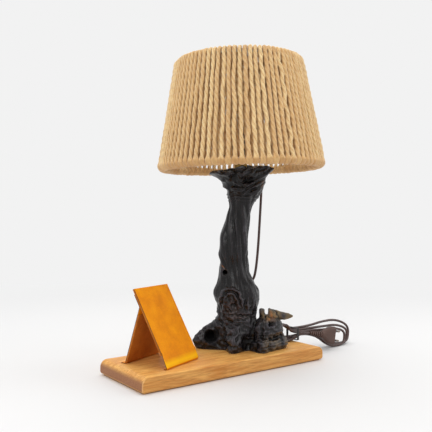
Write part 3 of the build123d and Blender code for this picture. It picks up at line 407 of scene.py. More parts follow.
@dataclass(frozen=True)
class MetalFinish:
    """Bare or plated metal with soft handling marks."""

    name: str
    colour: Triple
    roughness: float = 0.3

    def material(self) -> Material:
        """Build this metal's material.

        Returns:
            The material.
        """
        g = Graph(self.name)
        marks = g.noise(260.0, 4.0, 0.6)
        colour = g.stain(self.colour, marks, 0.4, 0.75, 0.35, toned(self.colour, 0.72))
        rough = g.span(marks, 0.3, 0.7, self.roughness - 0.06, self.roughness + 0.1)
        return g.finish(colour, rough, g.bump(marks, 0.05, 0.4), Metallic=1.0)


@dataclass(frozen=True)
class MouldedFinish:
    """Moulded plastic, rubber or glaze with a faint mould grain."""

    name: str
    colour: Triple
    roughness: float = 0.45
    grain: float = 0.06

    def material(self) -> Material:
        """Build this moulding's material.

        Returns:
            The material.
        """
        g = Graph(self.name)
        cloud = g.noise(70.0, 3.0, 0.5)
        colour = g.stain(self.colour, cloud, 0.4, 0.7, 0.4, toned(self.colour, 1.3, 6.0))
        rough = g.span(cloud, 0.3, 0.7, self.roughness - 0.05, self.roughness + 0.07)
        grain = g.noise(1100.0, 3.0, 0.55)
        return g.finish(colour, rough, g.bump(grain, self.grain, 0.5), Specular_IOR_Level=0.5)


@dataclass(frozen=True)
class FrostedGlassFinish:
    """Frosted white glass of the unlit bulb."""

    colour: Triple = (246, 244, 238)

    def material(self) -> Material:
        """Build the bulb's material.

        Returns:
            The material.
        """
        g = Graph("frosted_glass")
        frost = g.noise(1600.0, 2.0, 0.5)
        return g.finish(self.colour, g.span(frost, 0.3, 0.7, 0.28, 0.4), g.bump(frost, 0.02, 0.4),
                        Transmission_Weight=0.35, IOR=1.46)


class Finish(Enum):
    """The lamp's finishes."""

    PLANK = PlankFinish()
    CHARRED = CharredWoodFinish()
    JUTE = JuteFinish()
    LEATHER = LeatherFinish()
    FELT = FeltFinish()
    BRASS = MetalFinish("aged_brass", (150, 132, 78), 0.34)
    STEEL = MetalFinish("zinc_steel", (176, 178, 180), 0.34)
    NICKEL = MetalFinish("nickel", (206, 204, 198), 0.2)
    ALUMINIUM = MetalFinish("cap_metal", (200, 200, 198), 0.3)
    LACQUER = MouldedFinish("white_lacquer", (226, 220, 206), 0.4, 0.03)
    PHENOLIC = MouldedFinish("phenolic", (38, 34, 32), 0.38)
    RUBBER = MouldedFinish("rubber", (34, 30, 28), 0.62)
    # Darker copy of the tan leather for the inner faces of the panel and leg, darker as painted shade
    LEATHER_IN_SHADE = LeatherFinish("leather_in_shade", (190, 112, 40), (208, 130, 54), (164, 90, 28))
    CUT_EDGE = MouldedFinish("cut_edge", (96, 52, 22), 0.8, 0.15)
    CERAMIC = MouldedFinish("glazed_block", (222, 216, 204), 0.25, 0.02)
    BLACK_GLASS = MouldedFinish("black_glass", (20, 20, 24), 0.15, 0.01)
    FLEX = MouldedFinish("flex_sheath", (64, 40, 34), 0.34, 0.03)
    PLUG = MouldedFinish("plug_moulding", (70, 44, 33), 0.46)
    SLEEVE = MouldedFinish("pin_sleeve", (28, 24, 22), 0.5)
    PIN = MetalFinish("pin_metal", (128, 116, 106), 0.32)
    GLASS = FrostedGlassFinish()


class Wardrobe:
    """Makes each finish once and hands it out."""

    def __init__(self) -> None:
        """Start with nothing made."""
        self.made: dict[Finish, Material] = {}

    def get(self, finish: Finish) -> Material:
        """Give the material of a finish.

        Args:
            finish: The finish.

        Returns:
            Its material, made at the first call.
        """
        if finish not in self.made:
            self.made[finish] = finish.value.material()
        return self.made[finish]

    def dress(self, piece: Object, finish: Finish) -> None:
        """Give a piece one finish all over."""
        piece.data.materials.clear()
        piece.data.materials.append(self.get(finish))


WARDROBE = Wardrobe()


# Meshes


def new_piece(name: str, points: Array, faces: Array | list, body: str,
              finish: Finish) -> Object:
    """Make a smooth mesh piece that rides on a body.

    Args:
        name: The piece's name.
        points: Its points, one row each, in metres.
        faces: Its faces, as rows of point numbers.
        body: The body it rides on.
        finish: Its finish.

    Returns:
        The new object.
    """
    mesh = bpy.data.meshes.new(name)
    mesh.from_pydata([tuple(point) for point in points], [],
                     [tuple(int(number) for number in face) for face in faces])
    piece = add_object(name, mesh)
    settle(piece, body, finish)
    return piece


def settle(piece: Object, body: str, finish: Finish) -> None:
    """Smooth and dress a mesh piece and put it on its body.

    Args:
        piece: The piece.
        body: The body it rides on.
        finish: Its finish.
    """
    piece.data.polygons.foreach_set("use_smooth", [True] * len(piece.data.polygons))
    WARDROBE.dress(piece, finish)
    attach(piece, body)


def store(mesh: Mesh, name: str, values: Array) -> None:
    """Store one number per point on a mesh."""
    attribute = mesh.attributes.new(name, "FLOAT", "POINT")
    attribute.data.foreach_set("value", np.asarray(values, dtype=np.float32))


def gather(mesh: Mesh, name: str) -> Array:
    """Read one vector per point from a mesh.

    Args:
        mesh: The mesh.
        name: What to read: co or normal.

    Returns:
        One row per point.
    """
    rows = np.zeros(len(mesh.vertices) * 3)
    mesh.vertices.foreach_get(name, rows)
    return rows.reshape(-1, 3)


def strip_faces(rows: int, columns: int, first: int = 0, closed: bool = True) -> Array:
    """Number the quads of a grid of points whose rows follow each other.

    Args:
        rows: Count of rows.
        columns: Points in each row.
        first: Number of the grid's first point.
        closed: Whether each row closes on itself.

    Returns:
        One row of four point numbers per face.
    """
    across = columns if closed else columns - 1
    row, column = np.meshgrid(np.arange(rows - 1), np.arange(across), indexing="ij")
    after = (column + 1) % columns
    low, high = row * columns, (row + 1) * columns
    quads = np.stack([low + column, low + after, high + after, high + column], axis=-1)
    return quads.reshape(-1, 4) + first


# Camera and light


@dataclass
class Studio:
    """White sweep, soft lamps and the camera that stood before the lamp."""

    eye: Triple = (-0.5970, -0.8022, 0.2498)
    heading: float = 36.448
    tilt: float = 0.681
    roll: float = 0.222
    focal: float = 574.63
    frame_width: float = 432.0
    sensor: float = 36.0
    nearest: float = 0.01
    floor_size: float = 14.0
    floor_tone: Triple = (233, 233, 233)
    backdrop: Triple = (242, 242, 242)
    fade: tuple[float, float] = (0.55, 1.5)
    sky: tuple[float, float] = (0.82, 0.3)
    dim_side: Triple = (-0.54, -0.75, -0.2)
    dim_from: tuple[float, float] = (-0.3, 0.8)
    aim: Triple = (0.05, 0.0, 0.25)
    # Name, place, side in metres and power in watts
    lamps: tuple[tuple[str, Triple, float, float], ...] = (
        ("key", (-1.9, -1.5, 1.9), 1.6, 26.0),
        ("fill", (1.8, -1.4, 1.1), 1.8, 12.0),
        ("top", (0.1, 0.3, 2.4), 2.0, 22.0),
    )

    def build_camera(self) -> None:
        """Stand the camera where the picture was taken."""
        heading, tilt, roll = (math.radians(angle) for angle in (self.heading, self.tilt, self.roll))
        ahead = Vector((math.sin(heading) * math.cos(tilt), math.cos(heading) * math.cos(tilt),
                        math.sin(tilt)))
        right = Vector((math.cos(heading), -math.sin(heading), 0.0))
        up = right.cross(ahead)
        side = right * math.cos(roll) + up * math.sin(roll)
        crown = up * math.cos(roll) - right * math.sin(roll)
        data = bpy.data.cameras.new("camera")
        data.sensor_width = self.sensor
        data.lens = self.focal / self.frame_width * self.sensor
        data.clip_start = self.nearest
        camera = add_object("camera", data)
        camera.matrix_world = (Matrix.Translation(Vector(self.eye))
                               @ Matrix((side, crown, -ahead)).transposed().to_4x4())
        bpy.context.scene.camera = camera

    def build_floor(self) -> None:
        """Lay the pale table under the object, fading into the backdrop far away."""
        half = self.floor_size / 2
        mesh = bpy.data.meshes.new("table_top")
        mesh.from_pydata([(-half, -half, 0), (half, -half, 0), (half, half, 0), (-half, half, 0)], [],
                         [(0, 1, 2, 3)])
        g = Graph("table_white")
        mesh.materials.append(g.finish(self.floor_tone, 0.7, Specular_IOR_Level=0.2))
        away = g.add("ShaderNodeVectorMath", {0: g.add("ShaderNodeNewGeometry").outputs["Position"]},
                     operation="LENGTH")
        share = g.add("ShaderNodeMapRange", {"Value": away.outputs["Value"], "From Min": self.fade[0],
                                             "From Max": self.fade[1]}, interpolation_type="SMOOTHSTEP")
        glow = g.add("ShaderNodeEmission", {"Color": self.backdrop})
        blend = g.add("ShaderNodeMixShader", {0: share.outputs["Result"], 1: g.shader.outputs[0],
                                              2: glow.outputs[0]})
        g.feed(g.tree.nodes["Material Output"].inputs["Surface"], blend.outputs[0])
        add_object("table_top", mesh)

    def build_world(self) -> None:
        """Light the room, dimmer in front of the object, with plain white behind and in reflections."""
        g = Graph("studio", "worlds")
        bpy.context.scene.world = g.owner
        g.tree.nodes.clear()
        facing = g.add("ShaderNodeVectorMath", {0: g.add("ShaderNodeTexCoord").outputs["Generated"],
                                                1: list(self.dim_side)}, operation="DOT_PRODUCT")
        level = g.span(facing.outputs["Value"], *self.dim_from, *self.sky)
        room = g.add("ShaderNodeBackground", {"Color": (255, 255, 255), "Strength": level})
        seen = g.add("ShaderNodeBackground", {"Color": self.backdrop})
        path = g.add("ShaderNodeLightPath")
        share = 0.0
        for kind in ("Is Camera Ray", "Is Glossy Ray", "Is Transmission Ray"):
            share = g.maths("ADD", path.outputs[kind], share, clamp=True)
        mixer = g.add("ShaderNodeMixShader", {0: share, 1: room.outputs[0], 2: seen.outputs[0]})
        g.add("ShaderNodeOutputWorld", {"Surface": mixer.outputs[0]})

    def build_lamps(self) -> None:
        """Hang the soft lamps, which face the object."""
        for name, place, size, power in self.lamps:
            data = bpy.data.lights.new(name, "AREA")
            data.size = size
            data.energy = power
            lamp = add_object(name, data)
            lamp.location = place
            lamp.rotation_euler = (Vector(place) - Vector(self.aim)).to_track_quat("Z", "Y").to_euler()

    def build(self) -> None:
        """Build the camera, the table and the light."""
        bpy.context.scene.view_settings.view_transform = "Standard"
        self.build_camera()
        self.build_floor()
        self.build_world()
        self.build_lamps()


# Flex


@dataclass
class Flex:
    """Brown flex from the lampholder to the switch, and on through its hank to the plug."""

    diameter: float = 0.0048
    facets: int = 5
    smoothness: int = 10
    drop_length: float = 0.271
    hank_length: float = 1.48
    drop: tuple[Triple, ...] = (
        (83.8, 11.0, 351.0), (106.6, 16.5, 351.0), (120.2, 24.4, 334.5), (119.8, 23.2, 312.0),
        (107.4, 22.4, 154.0), (98.0, 30.0, 137.0), (98.0, 30.0, 109.0),
    )
    feed: tuple[Triple, ...] = (
        (98.0, 30.0, 71.0), (98.0, 30.0, 48.5), (105.0, 29.3, 35.0), (118.0, 27.0, 27.8),
        (134.5, 26.0, 27.8), (151.0, 26.0, 27.8), (166.0, 10.0, 31.0),
    )
    tail: tuple[Triple, ...] = ((170.0, -8.0, 28.4), (187.0, -16.6, 40.6), (198.0, -17.0, 40.0),
                                (207.9, -17.0, 38.2))
    # Right end of each loop: crest, far and low points, x and z
    ends: tuple[tuple[tuple[float, float], ...], ...] = (
        ((293.0, 51.0), (347.0, 18.0), (329.0, 2.6)),
        ((290.0, 42.0), (336.0, 18.0), (319.0, 2.6)),
        ((284.0, 36.5), (322.0, 18.5), (306.0, 2.6)),
    )
    back_y: float = 10.0
    step: float = 5.8
    lean: float = 6.0
    nest: float = 3.0

    def loop(self, number: int) -> list[Triple]:
        """Give the spline's points round one loop of the hank, from its waist back to its waist.

        Args:
            number: Which loop, from 0.

        Returns:
            Sixteen points in millimetres.
        """
        (crest_x, crest_z), (far_x, far_z), (low_x, low_z) = self.ends[number]
        y = self.back_y - self.step * number
        after, far_y, low_y = y - self.step, y - self.lean / 2, y - self.lean
        nest = self.nest * number
        return [
            (190.0, y, 31.0 + nest), (236.0, y, 31.0), (low_x - 33.0, low_y, low_z),
            (low_x + 7.0, low_y, low_z),
            (far_x, far_y, far_z - 7.0), (far_x, far_y, far_z + 0.55 * (crest_z - far_z)),
            (crest_x + 0.35 * (far_x - crest_x), y, crest_z), (crest_x - 22.0, y, crest_z),
            (225.0, after, 47.0 - nest), (169.0, after, 47.0 - nest), (159.0, after, 57.8),
            (145.8, after, 57.8),
            (137.0, after, 51.6), (137.0, after, 34.0), (145.8, after, 27.8), (158.0, after, 27.8),
        ]

    def curve(self, name: str, points: list[Triple]) -> Object:
        """Make one smooth run of flex.

        Args:
            name: The piece's name.
            points: The spline's points in millimetres.

        Returns:
            The curve object.
        """
        data = bpy.data.curves.new(name, "CURVE")
        data.dimensions = "3D"
        data.bevel_depth = self.diameter / 2
        data.bevel_resolution = self.facets
        data.resolution_u = self.smoothness
        data.use_fill_caps = True
        spline = data.splines.new("NURBS")
        spline.points.add(len(points) - 1)
        for point, (x, y, z) in zip(spline.points, points):
            point.co = (x * MM, y * MM, z * MM, 1.0)
        spline.order_u = 3
        spline.use_endpoint_u = True
        piece = add_object(name, data)
        data.materials.append(WARDROBE.get(Finish.FLEX))
        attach(piece, "base")
        return piece

    def build(self) -> None:
        """Build both runs of the flex and hide the imported cord pieces they replace."""
        drop = self.curve("flex_drop", list(self.drop))
        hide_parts("cord_drop")
        loops = [point for number in range(len(self.ends)) for point in self.loop(number)]
        hank = self.curve("flex_hank", [*self.feed, *loops, *self.tail])
        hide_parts("cord_feed", "cord_hank")
        log.info("flex: drop and hank built")


# Shade


@dataclass
class RopeShade:
    """Jute rope wound up and down over the two rings of the shade."""

    axis_foot: Triple = (53.7, 3.8, 353.6)
    lean: float = 2.0
    lower_ring: float = 139.9
    upper_ring: float = 107.3
    height: float = 176.8
    turns: int = 84
    rope: float = 4.0
    wire: float = 2.0
    ply_pitch: float = 36.0
    # How far out a ply's middle lies, its radius, and their sum at its crest
    ply_out: float = 0.45
    ply_round: float = 0.57
    ply_crest: float = 1.02
    sides: int = 12
    step: float = 2.4
    wander: float = 0.7
    seed: int = 7
    # Turns passed at the outer run's foot and top, the inner one's top and foot, and the foot again
    drift: tuple[float, ...] = (0.08, 0.12, 0.44, 1.12, 1.08)
    # Low band where the strands press flat against each other round the ring
    band_height: float = 2.0
    band_fade: float = 5.5
    band_spread: float = 0.55
    band_square: float = 0.7
    # Slits that show light at the foot of the far side
    far_side: float = 53.6
    line_up: float = 0.085
    slit_height: float = 38.0
    slit_fade: float = 12.0
    slit_reach: float = 60.0

    def profile(self, along: Array) -> tuple[Array, Array, float]:
        """Give the radius and height of the rope's middle at lengths along one turn.

        Args:
            along: Shares of one turn from 0 to 1, starting at the foot of the outer run.

        Returns:
            The radii, the heights, and the length of a whole turn, in millimetres.
        """
        drop = self.lower_ring - self.upper_ring
        run = math.hypot(drop, self.height)
        wall = np.array((-drop / run, self.height / run))
        outward = np.array((wall[1], -wall[0]))
        reach = self.wire + self.rope
        wrap = math.pi * reach
        total = 2 * (run + wrap)
        travelled = np.mod(along, 1.0) * total
        foot = np.array((self.lower_ring, 0.0))
        head = np.array((self.upper_ring, self.height))
        result = np.zeros((len(along), 2))
        outer = travelled < run
        over = (travelled >= run) & (travelled < run + wrap)
        inner = (travelled >= run + wrap) & (travelled < 2 * run + wrap)
        under = travelled >= 2 * run + wrap
        result[outer] = foot + outward * reach + np.outer(travelled[outer], wall)
        angle = (travelled[over] - run) / reach
        result[over] = head + reach * (np.outer(np.cos(angle), outward) + np.outer(np.sin(angle), wall))
        result[inner] = head - outward * reach - np.outer(travelled[inner] - run - wrap, wall)
        angle = (travelled[under] - 2 * run - wrap) / reach
        result[under] = foot - reach * (np.outer(np.cos(angle), outward) + np.outer(np.sin(angle), wall))
        return result[:, 0], result[:, 1], total

    def winding(self, rng: np.random.Generator) -> tuple[Array, Array, Array]:
        """Give the rope's middle line in the shade's own frame, in millimetres.

        Args:
            rng: Seeded source of the winding's unevenness.

        Returns:
            The points, the share of its turn that each stands at, and a tone for each.
        """
        _, _, total = self.profile(np.zeros(1))
        per_turn = int(round(total / self.step))
        turn = np.arange(per_turn * self.turns) / per_turn
        index = np.floor(turn).astype(int)
        share = np.mod(turn, 1.0)
        radius, height, _ = self.profile(share)
        run_share = 0.5 - math.pi * (self.wire + self.rope) / total
        # The rope climbs straight outside, crosses the upper ring, and drifts back in line inside
        moved = np.interp(share, [0, run_share, 0.5, 0.5 + run_share, 1.0], self.drift)
        angle = 2 * math.pi * (np.floor(turn) + moved) / self.turns
        shift = rng.normal(0.0, self.wander, (self.turns + 1, 4))
        sway = (0.6 * shift[index, 0] + 0.7 * shift[index, 1] * np.cos(2 * math.pi * share * 5 + index)
                + 0.7 * shift[index, 2] * np.sin(2 * math.pi * share * 11 + 2.0 * index))
        on_run = held(np.minimum(share % 0.5, run_share - share % 0.5) / (0.5 - run_share))
        angle += sway * on_run / radius
        # Low on the inside the runs lie right behind the outer ones, so light comes between them
        low = held(1.3 - height / 50.0) * (share > 0.5) * held(2.5 * on_run)
        angle += self.line_up * low * np.sin(angle - math.radians(self.far_side))
        radius = radius + 0.5 * shift[index, 3] * on_run
        points = np.stack([radius * np.cos(angle), radius * np.sin(angle), height], axis=1)
        return points, share, rng.uniform(0.0, 1.0, self.turns + 1)[index]

    def axes(self, points: Array) -> tuple[Array, Array]:
        """Give the two directions across the rope at each of its points.

        Args:
            points: The rope's middle line.

        Returns:
            Unit vectors round the shade and out of its wall.
        """
        ahead = np.roll(points, -1, axis=0) - np.roll(points, 1, axis=0)
        ahead /= np.linalg.norm(ahead, axis=1)[:, None]
        radial = points * np.array((1.0, 1.0, 0.0))
        radial /= np.linalg.norm(radial, axis=1)[:, None]
        across = np.stack([-radial[:, 1], radial[:, 0], np.zeros(len(points))], axis=1)
        across -= ahead * np.sum(across * ahead, axis=1)[:, None]
        across /= np.linalg.norm(across, axis=1)[:, None]
        return across, np.cross(ahead, across)

    def section(self, angle: Array) -> Array:
        """Give the outline of the three plies.

        Args:
            angle: Angles round the rope, from the middle of one ply.

        Returns:
            Distances from the rope's middle, 1 on a ply's crest.
        """
        lobe = np.mod(angle + math.pi / 3, 2 * math.pi / 3) - math.pi / 3
        across = self.ply_out * np.sin(lobe)
        return (self.ply_out * np.cos(lobe) + np.sqrt(self.ply_round ** 2 - across ** 2)) / self.ply_crest

    def girth(self, points: Array, share: Array, band: Array) -> Array:
        """Give how thick the rope is at each point, as a share of its own thickness.

        Args:
            points: The rope's middle line.
            share: Share of its turn that each point stands at.
            band: How far each point is in the low band, 0 to 1.

        Returns:
            One share per point.
        """
        inside = held(np.sin(math.pi * (share - 0.5) * 2.0) * 3.0)
        far = math.radians(self.far_side)
        facing = points[:, :2] @ np.array((math.cos(far), math.sin(far)))
        thin = rise(facing, 0.0, self.slit_reach) * rise(points[:, 2], self.slit_height, -self.slit_fade)
        girth = 0.95 - 0.06 * thin + inside * (0.13 - 0.27 * thin)
        return girth + (1.0 - girth) * band

    def build(self) -> None:
        """Build the whole winding as one twisted three-ply rope."""
        points, share, tone = self.winding(np.random.default_rng(self.seed))
        _, _, total = self.profile(np.zeros(1))
        count = len(points)
        lengths = np.arange(count) * total * self.turns / count
        across, out = self.axes(points)
        spin = 2 * math.pi * lengths / self.ply_pitch
        band = held(0.5 + (self.band_height - points[:, 2]) / self.band_fade)
        # The rope swells and thins along its length, and a little from turn to turn
        swell = (1.03 + 0.06 * np.sin(lengths / 23.0) + 0.05 * np.sin(lengths / 7.3 + 1.0)
                 + 0.05 * (tone - 0.5))
        swell *= self.girth(points, share, band)
        spread = swell * (1.0 + self.band_spread * band)
        rows = []
        crests = []
        for side in range(self.sides):
            angle = 2 * math.pi * side / self.sides
            shape = self.section(angle + spin)
            square = (math.cos(angle) ** 4 + math.sin(angle) ** 4) ** -0.25
            shape += self.band_square * band * (0.94 * square - shape)
            reach = self.rope * shape
            rows.append(points + across * (reach * spread * math.cos(angle))[:, None]
                        + out * (reach * swell * math.sin(angle))[:, None])
            # Painted light: ply crests paler and the grooves between plies darker as painted shade, evened
            # out in the low band
            crests.append((shape - 0.6) / 0.4 * (1.0 - self.band_square * band))
        place = np.array(Matrix.Translation(Vector(self.axis_foot))
                         @ Matrix.Rotation(-math.radians(self.lean), 4, "Y"))
        grid = (np.stack(rows, axis=1).reshape(-1, 3) @ place[:3, :3].T + place[:3, 3]) * MM
        last = (count - 1) * self.sides
        closing = [[last + i, last + (i + 1) % self.sides, (i + 1) % self.sides, i]
                   for i in range(self.sides)]
        faces = np.concatenate([strip_faces(count, self.sides), np.array(closing)])
        piece = new_piece("rope_winding", grid, faces, "shade", Finish.JUTE)
        store(piece.data, "crest", held(np.stack(crests, axis=1).reshape(-1)))
        store(piece.data, "tone", np.repeat(tone, self.sides))
        self.lay_map(piece.data, lengths)
        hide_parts("rope_cover")
        log.info("rope winding: %d rings, %.1f m of rope", count, lengths[-1] * MM)

    def lay_map(self, mesh: Mesh, lengths: Array) -> None:
        """Lay a map whose first axis runs along the rope, the second round it with its plies.

        Args:
            mesh: The rope's mesh.
            lengths: Length along the rope at each of its rings, in millimetres.
        """
        layer = mesh.uv_layers.new(name="lay")
        corners = np.zeros(len(mesh.loops), dtype=np.int64)
        mesh.loops.foreach_get("vertex_index", corners)
        ring, side = np.divmod(corners, self.sides)
        along = lengths[ring]
        around = (side / self.sides * 2 * math.pi * self.rope
                  + along * 2 * math.pi * self.rope / self.ply_pitch)
        layer.data.foreach_set("uv", np.stack([along * MM, around * MM], axis=1).reshape(-1))


# Trunk


@dataclass(frozen=True)
class Mark:
    """Dent in the wood's front: its middle and half-sizes as seen from the front, depth and turn."""

    across: float
    up: float
    wide: float
    high: float
    depth: float
    turn: float = 0.0

    def away(self, across: Array, up: Array) -> Array:
        """Give the distance of places from the middle.

        Args:
            across: Places to the right, in millimetres.
            up: Heights, in millimetres.

        Returns:
            Distances counted in half-sizes.
        """
        right, over = across - self.across, up - self.up
        cosine, sine = math.cos(math.radians(self.turn)), math.sin(math.radians(self.turn))
        return np.hypot((right * cosine + over * sine) / self.wide,
                        (over * cosine - right * sine) / self.high)


def marks_of(*rows: tuple[float, ...]) -> tuple[Mark, ...]:
    """Make a mark of each row of its numbers."""
    return tuple(Mark(*row) for row in rows)


@dataclass
class Trunk:
    """Stem, roots and burl in one piece of dark wood, in millimetres."""

    stand_x: float = 53.7
    stand_y: float = 3.8
    turn: float = 36.4
    voxel: float = 1.2
    settling: int = 5
    # Heights where the wood's character changes, and how far out the burl and its horn start
    board_top: float = 25.0
    waist_top: float = 66.0
    burl_top: float = 122.0
    foot_top: float = 130.0
    head_foot: float = 288.0
    neck: float = 296.0
    rim: float = 326.0
    seat_height: float = 335.0
    seat_radius: float = 19.0
    burl_edge: float = 24.0
    horn_edge: float = 34.0
    # Head's left tip: where it ends, where the drawing in starts, and its lift
    tip: float = 61.5
    tip_root: float = 24.0
    tip_lift: float = 5.0
    # How much painted light pales the foot and painted shade darkens the head under the lampshade, and how
    # far the rim's points stand up
    foot_painted_light: float = 0.16
    head_painted_shade: float = 0.1
    rim_height: float = 3.4
    boss: Mark = Mark(-17, 104, 20, 31, 0.0, 6)
    eye: Mark = Mark(52, 73, 4.4, 4.4, 0.0)
    # Hollows painted near-black as shade, with the strength of the painted shade as depth
    caves: tuple[Mark, ...] = marks_of(
        (14, 39, 12, 12, 0.55), (-55, 47, 11, 12, 1.0, 20), (-44, 53, 9, 12, 0.9),
        (-50, 34, 9, 6, 0.75, 10),
        (52, 73, 3.6, 3.6, 1.0), (-30, 161, 3.2, 3.6, 1.0), (-12, 330, 6, 7, 0.7, -12),
        (13, 322, 12, 3, 0.6, 18), (-30, 326, 7, 6, 0.5, -30), (36, 60, 3, 15, 0.5),
        (-13, 103, 4.5, 6, 0.4, -10), (-24, 112, 4, 5, 0.35, 10))
    dents: tuple[Mark, ...] = marks_of(
        # Roots: the hollow under the stem, and the left root's cave with its lips
        (15, 40, 10, 13, 4.0, 10), (-54.5, 49, 12, 14, 5.0, 10), (-61, 59, 6, 5, 5.0, 20),
        (-43, 56, 6, 8, 4.5, 10), (-64, 41, 3.5, 5, -2.4, 20), (-52, 33, 9, 3, -2.4, -14),
        (-37, 48, 2.6, 10, -1.8, 8), (-46, 41, 5, 6, 5.0, 20),
        # Head
        (-30, 326, 9, 8, 5.0, -30), (-12, 330, 7, 9, 7.0, -12), (13, 322, 13, 4, 6.5, 18),
        (32, 340, 9, 4, 5.0, 25), (-2, 312, 14, 2.6, 3.5, -8), (24, 309, 9, 2.4, 3.0, 25),
        (38, 316, 3, 9, 3.0, -25),
        # Burl's eye, holes in the boss, and the knot hole in the stem with its crack
        (52, 73, 3.8, 3.8, 8.0), (-25, 118, 4, 5, 3.5, 10), (-13, 105, 4.5, 6, 4.5, -10),
        (-22, 96, 3.5, 5, 3.5), (-30, 161, 3, 3.5, 3.0), (-31, 171, 1.0, 8, 1.0, 37),
        # Burl's waist and the cleft between it and the stem
        (50, 46, 24, 2.2, 4.5, 2), (36, 60, 2.6, 16, 3.5), (74, 46, 4, 10, 4.0),
        # Folds under and beside the boss
        (-4, 88, 25, 2.0, 3.0, -3), (4, 81, 22, 1.6, 2.2, 5), (-14, 76, 14, 1.6, 2.0, -10),
        (7, 107, 1.6, 13, 2.2), (18, 104, 1.8, 14, 2.6), (12.5, 107, 1.8, 11, -2.6),
        (-30, 60, 2.8, 18, 3.0, 20), (-20, 38, 12, 2.0, 2.2, -12), (-6, 50, 2.0, 12, 2.0, -25),
        # Burl's cracks and horn
        (64, 88, 2.0, 7, 2.5, 20), (44, 84, 2.2, 6, 2.5, -15), (72, 84, 16, 7, -2.6, -8),
        # Stem's long flutes
        (-26, 215, 2.6, 40, 1.6, 4), (-12, 235, 2.2, 34, 1.8, 6), (-18, 225, 2.4, 36, -1.6, 5),
        (2, 205, 2.6, 44, 1.5, 3), (-6, 190, 2.4, 30, -1.2, 4))
    # Patches of open wood, with how bare they are as depth
    patches: tuple[Mark, ...] = marks_of(
        (54, 86, 2.2, 7, 0.85, 12), (48, 80, 3, 2, 0.7), (60, 84, 1.4, 6, 0.35, -20),
        (-60, 35, 7, 2.0, 0.15), (-31, 171, 0.9, 8, 0.3, 37), (-15, 100, 12, 18, 0.05, 8),
        (-6, 86, 20, 5, 0.05), (39, 318, 3, 8, 0.2))

    def turned(self, rows: Array) -> Array:
        """Turn directions into the trunk's own frame: across, away and up."""
        cosine, sine = math.cos(math.radians(self.turn)), math.sin(math.radians(self.turn))
        return np.stack([rows[:, 0] * cosine - rows[:, 1] * sine, rows[:, 0] * sine + rows[:, 1] * cosine,
                         rows[:, 2]], axis=1)

    def remeshed(self) -> Object:
        """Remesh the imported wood.

        Returns:
            A new object with an even, fine mesh.
        """
        piece = add_object("trunk_wood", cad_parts["trunk"].data.copy())
        modifier = piece.modifiers.new("even", "REMESH")
        modifier.mode = "VOXEL"
        modifier.voxel_size = self.voxel * MM
        piece.modifiers.new("soften", "SMOOTH").iterations = self.settling
        even = bpy.data.meshes.new_from_object(piece.evaluated_get(bpy.context.evaluated_depsgraph_get()))
        piece.modifiers.clear()
        piece.data = even
        return piece

    def carve(self, mesh: Mesh) -> None:
        """Move the points in and out, and store the worn crests with the painted light and shade over them,
        the painted shade of the caves, and how bare and barky the wood is.

        Args:
            mesh: The trunk's even mesh.
        """
        points = gather(mesh, "co")
        normals = gather(mesh, "normal")
        local = self.turned(points / MM - np.array((self.stand_x, self.stand_y, 0.0)))
        self.draw_in(points, local)
        height = local[:, 2]
        # Full where the wood faces the front, little at its sides and none behind
        front = held(0.15 - 1.4 * self.turned(normals)[:, 1])
        settled = rise(height, self.board_top, 4.0)
        seat = rise(np.hypot(local[:, 0], local[:, 1]), self.seat_radius, 8.0)
        seat = np.where(height > self.seat_height, seat, 1.0)
        moved = (self.relief(local) + self.carving(local) * front) * settled * seat * MM
        points += normals * moved[:, None]
        rim = rise(height, self.rim, 12.0) * seat
        points[:, 2] += rim * (self.rim_height * field_of(local, (13.0, 13.0, 40.0), 3.0) - 0.6) * MM
        mesh.vertices.foreach_set("co", points.reshape(-1))
        mesh.update()
        # Painted light on the foot and painted shade on the head, which sits under the lampshade
        painted_foot_and_head_light = (self.foot_painted_light * rise(height, self.foot_top, -30.0)
                  - self.head_painted_shade * rise(height, self.head_foot + 2.0, 15.0))
        # Worn grey on the crests with painted shade in the grooves
        store(mesh, "crest_wear_and_painted_light", held(self.pointiness(mesh) + painted_foot_and_head_light))
        # Painted shade in the caves, on the wood's front only
        store(mesh, "painted_cave_shade", self.painted_cave_shading(local) * held(front * 4.0))
        store(mesh, "bare", self.bareness(local) * front)
        store(mesh, "bark", self.barkiness(local))

    def draw_in(self, points: Array, local: Array) -> None:
        """Bring the head's left tip in to its place and lift it, in both sets of points.

        Args:
            points: Points in metres in the object's frame.
            local: The same points in the trunk's own frame.
        """
        reach = -local[:, 0].min()
        share = rise(-local[:, 0], self.tip_root, reach - self.tip_root) * rise(local[:, 2], 312.0, 16.0)
        inward = share * (reach - self.tip)
        lift = self.tip_lift * share
        local[:, 0] += inward
        local[:, 2] += lift
        points[:, 0] += inward * math.cos(math.radians(self.turn)) * MM
        points[:, 1] -= inward * math.sin(math.radians(self.turn)) * MM
        points[:, 2] += lift * MM

    def warped(self, local: Array) -> tuple[Array, Array]:
        """Shift places so that outlines waver, most on the foot and head.

        Args:
            local: Points in the trunk's own frame.

        Returns:
            The places across and up.
        """
        height = local[:, 2]
        reach = 0.7 + 2.6 * np.maximum(rise(height, 140.0, -20.0), rise(height, 285.0, 15.0))
        return local[:, 0] + reach * field_of(local, 7.0, 21.0), height + reach * field_of(local, 7.0, 22.0)

    def painted_cave_shading(self, local: Array) -> Array:
        """Give the painted shade in the wood's caves.

        Args:
            local: Points in the trunk's own frame.

        Returns:
            One number per point: 1 where the cave is painted fully dark.
        """
        across, up = self.warped(local)
        ragged = 0.32 * field_of(local, 5.5, 25.0)
        return np.maximum.reduce([cave.depth * np.exp(-np.maximum(cave.away(across, up) + ragged, 0.0) ** 4)
                                  for cave in self.caves])

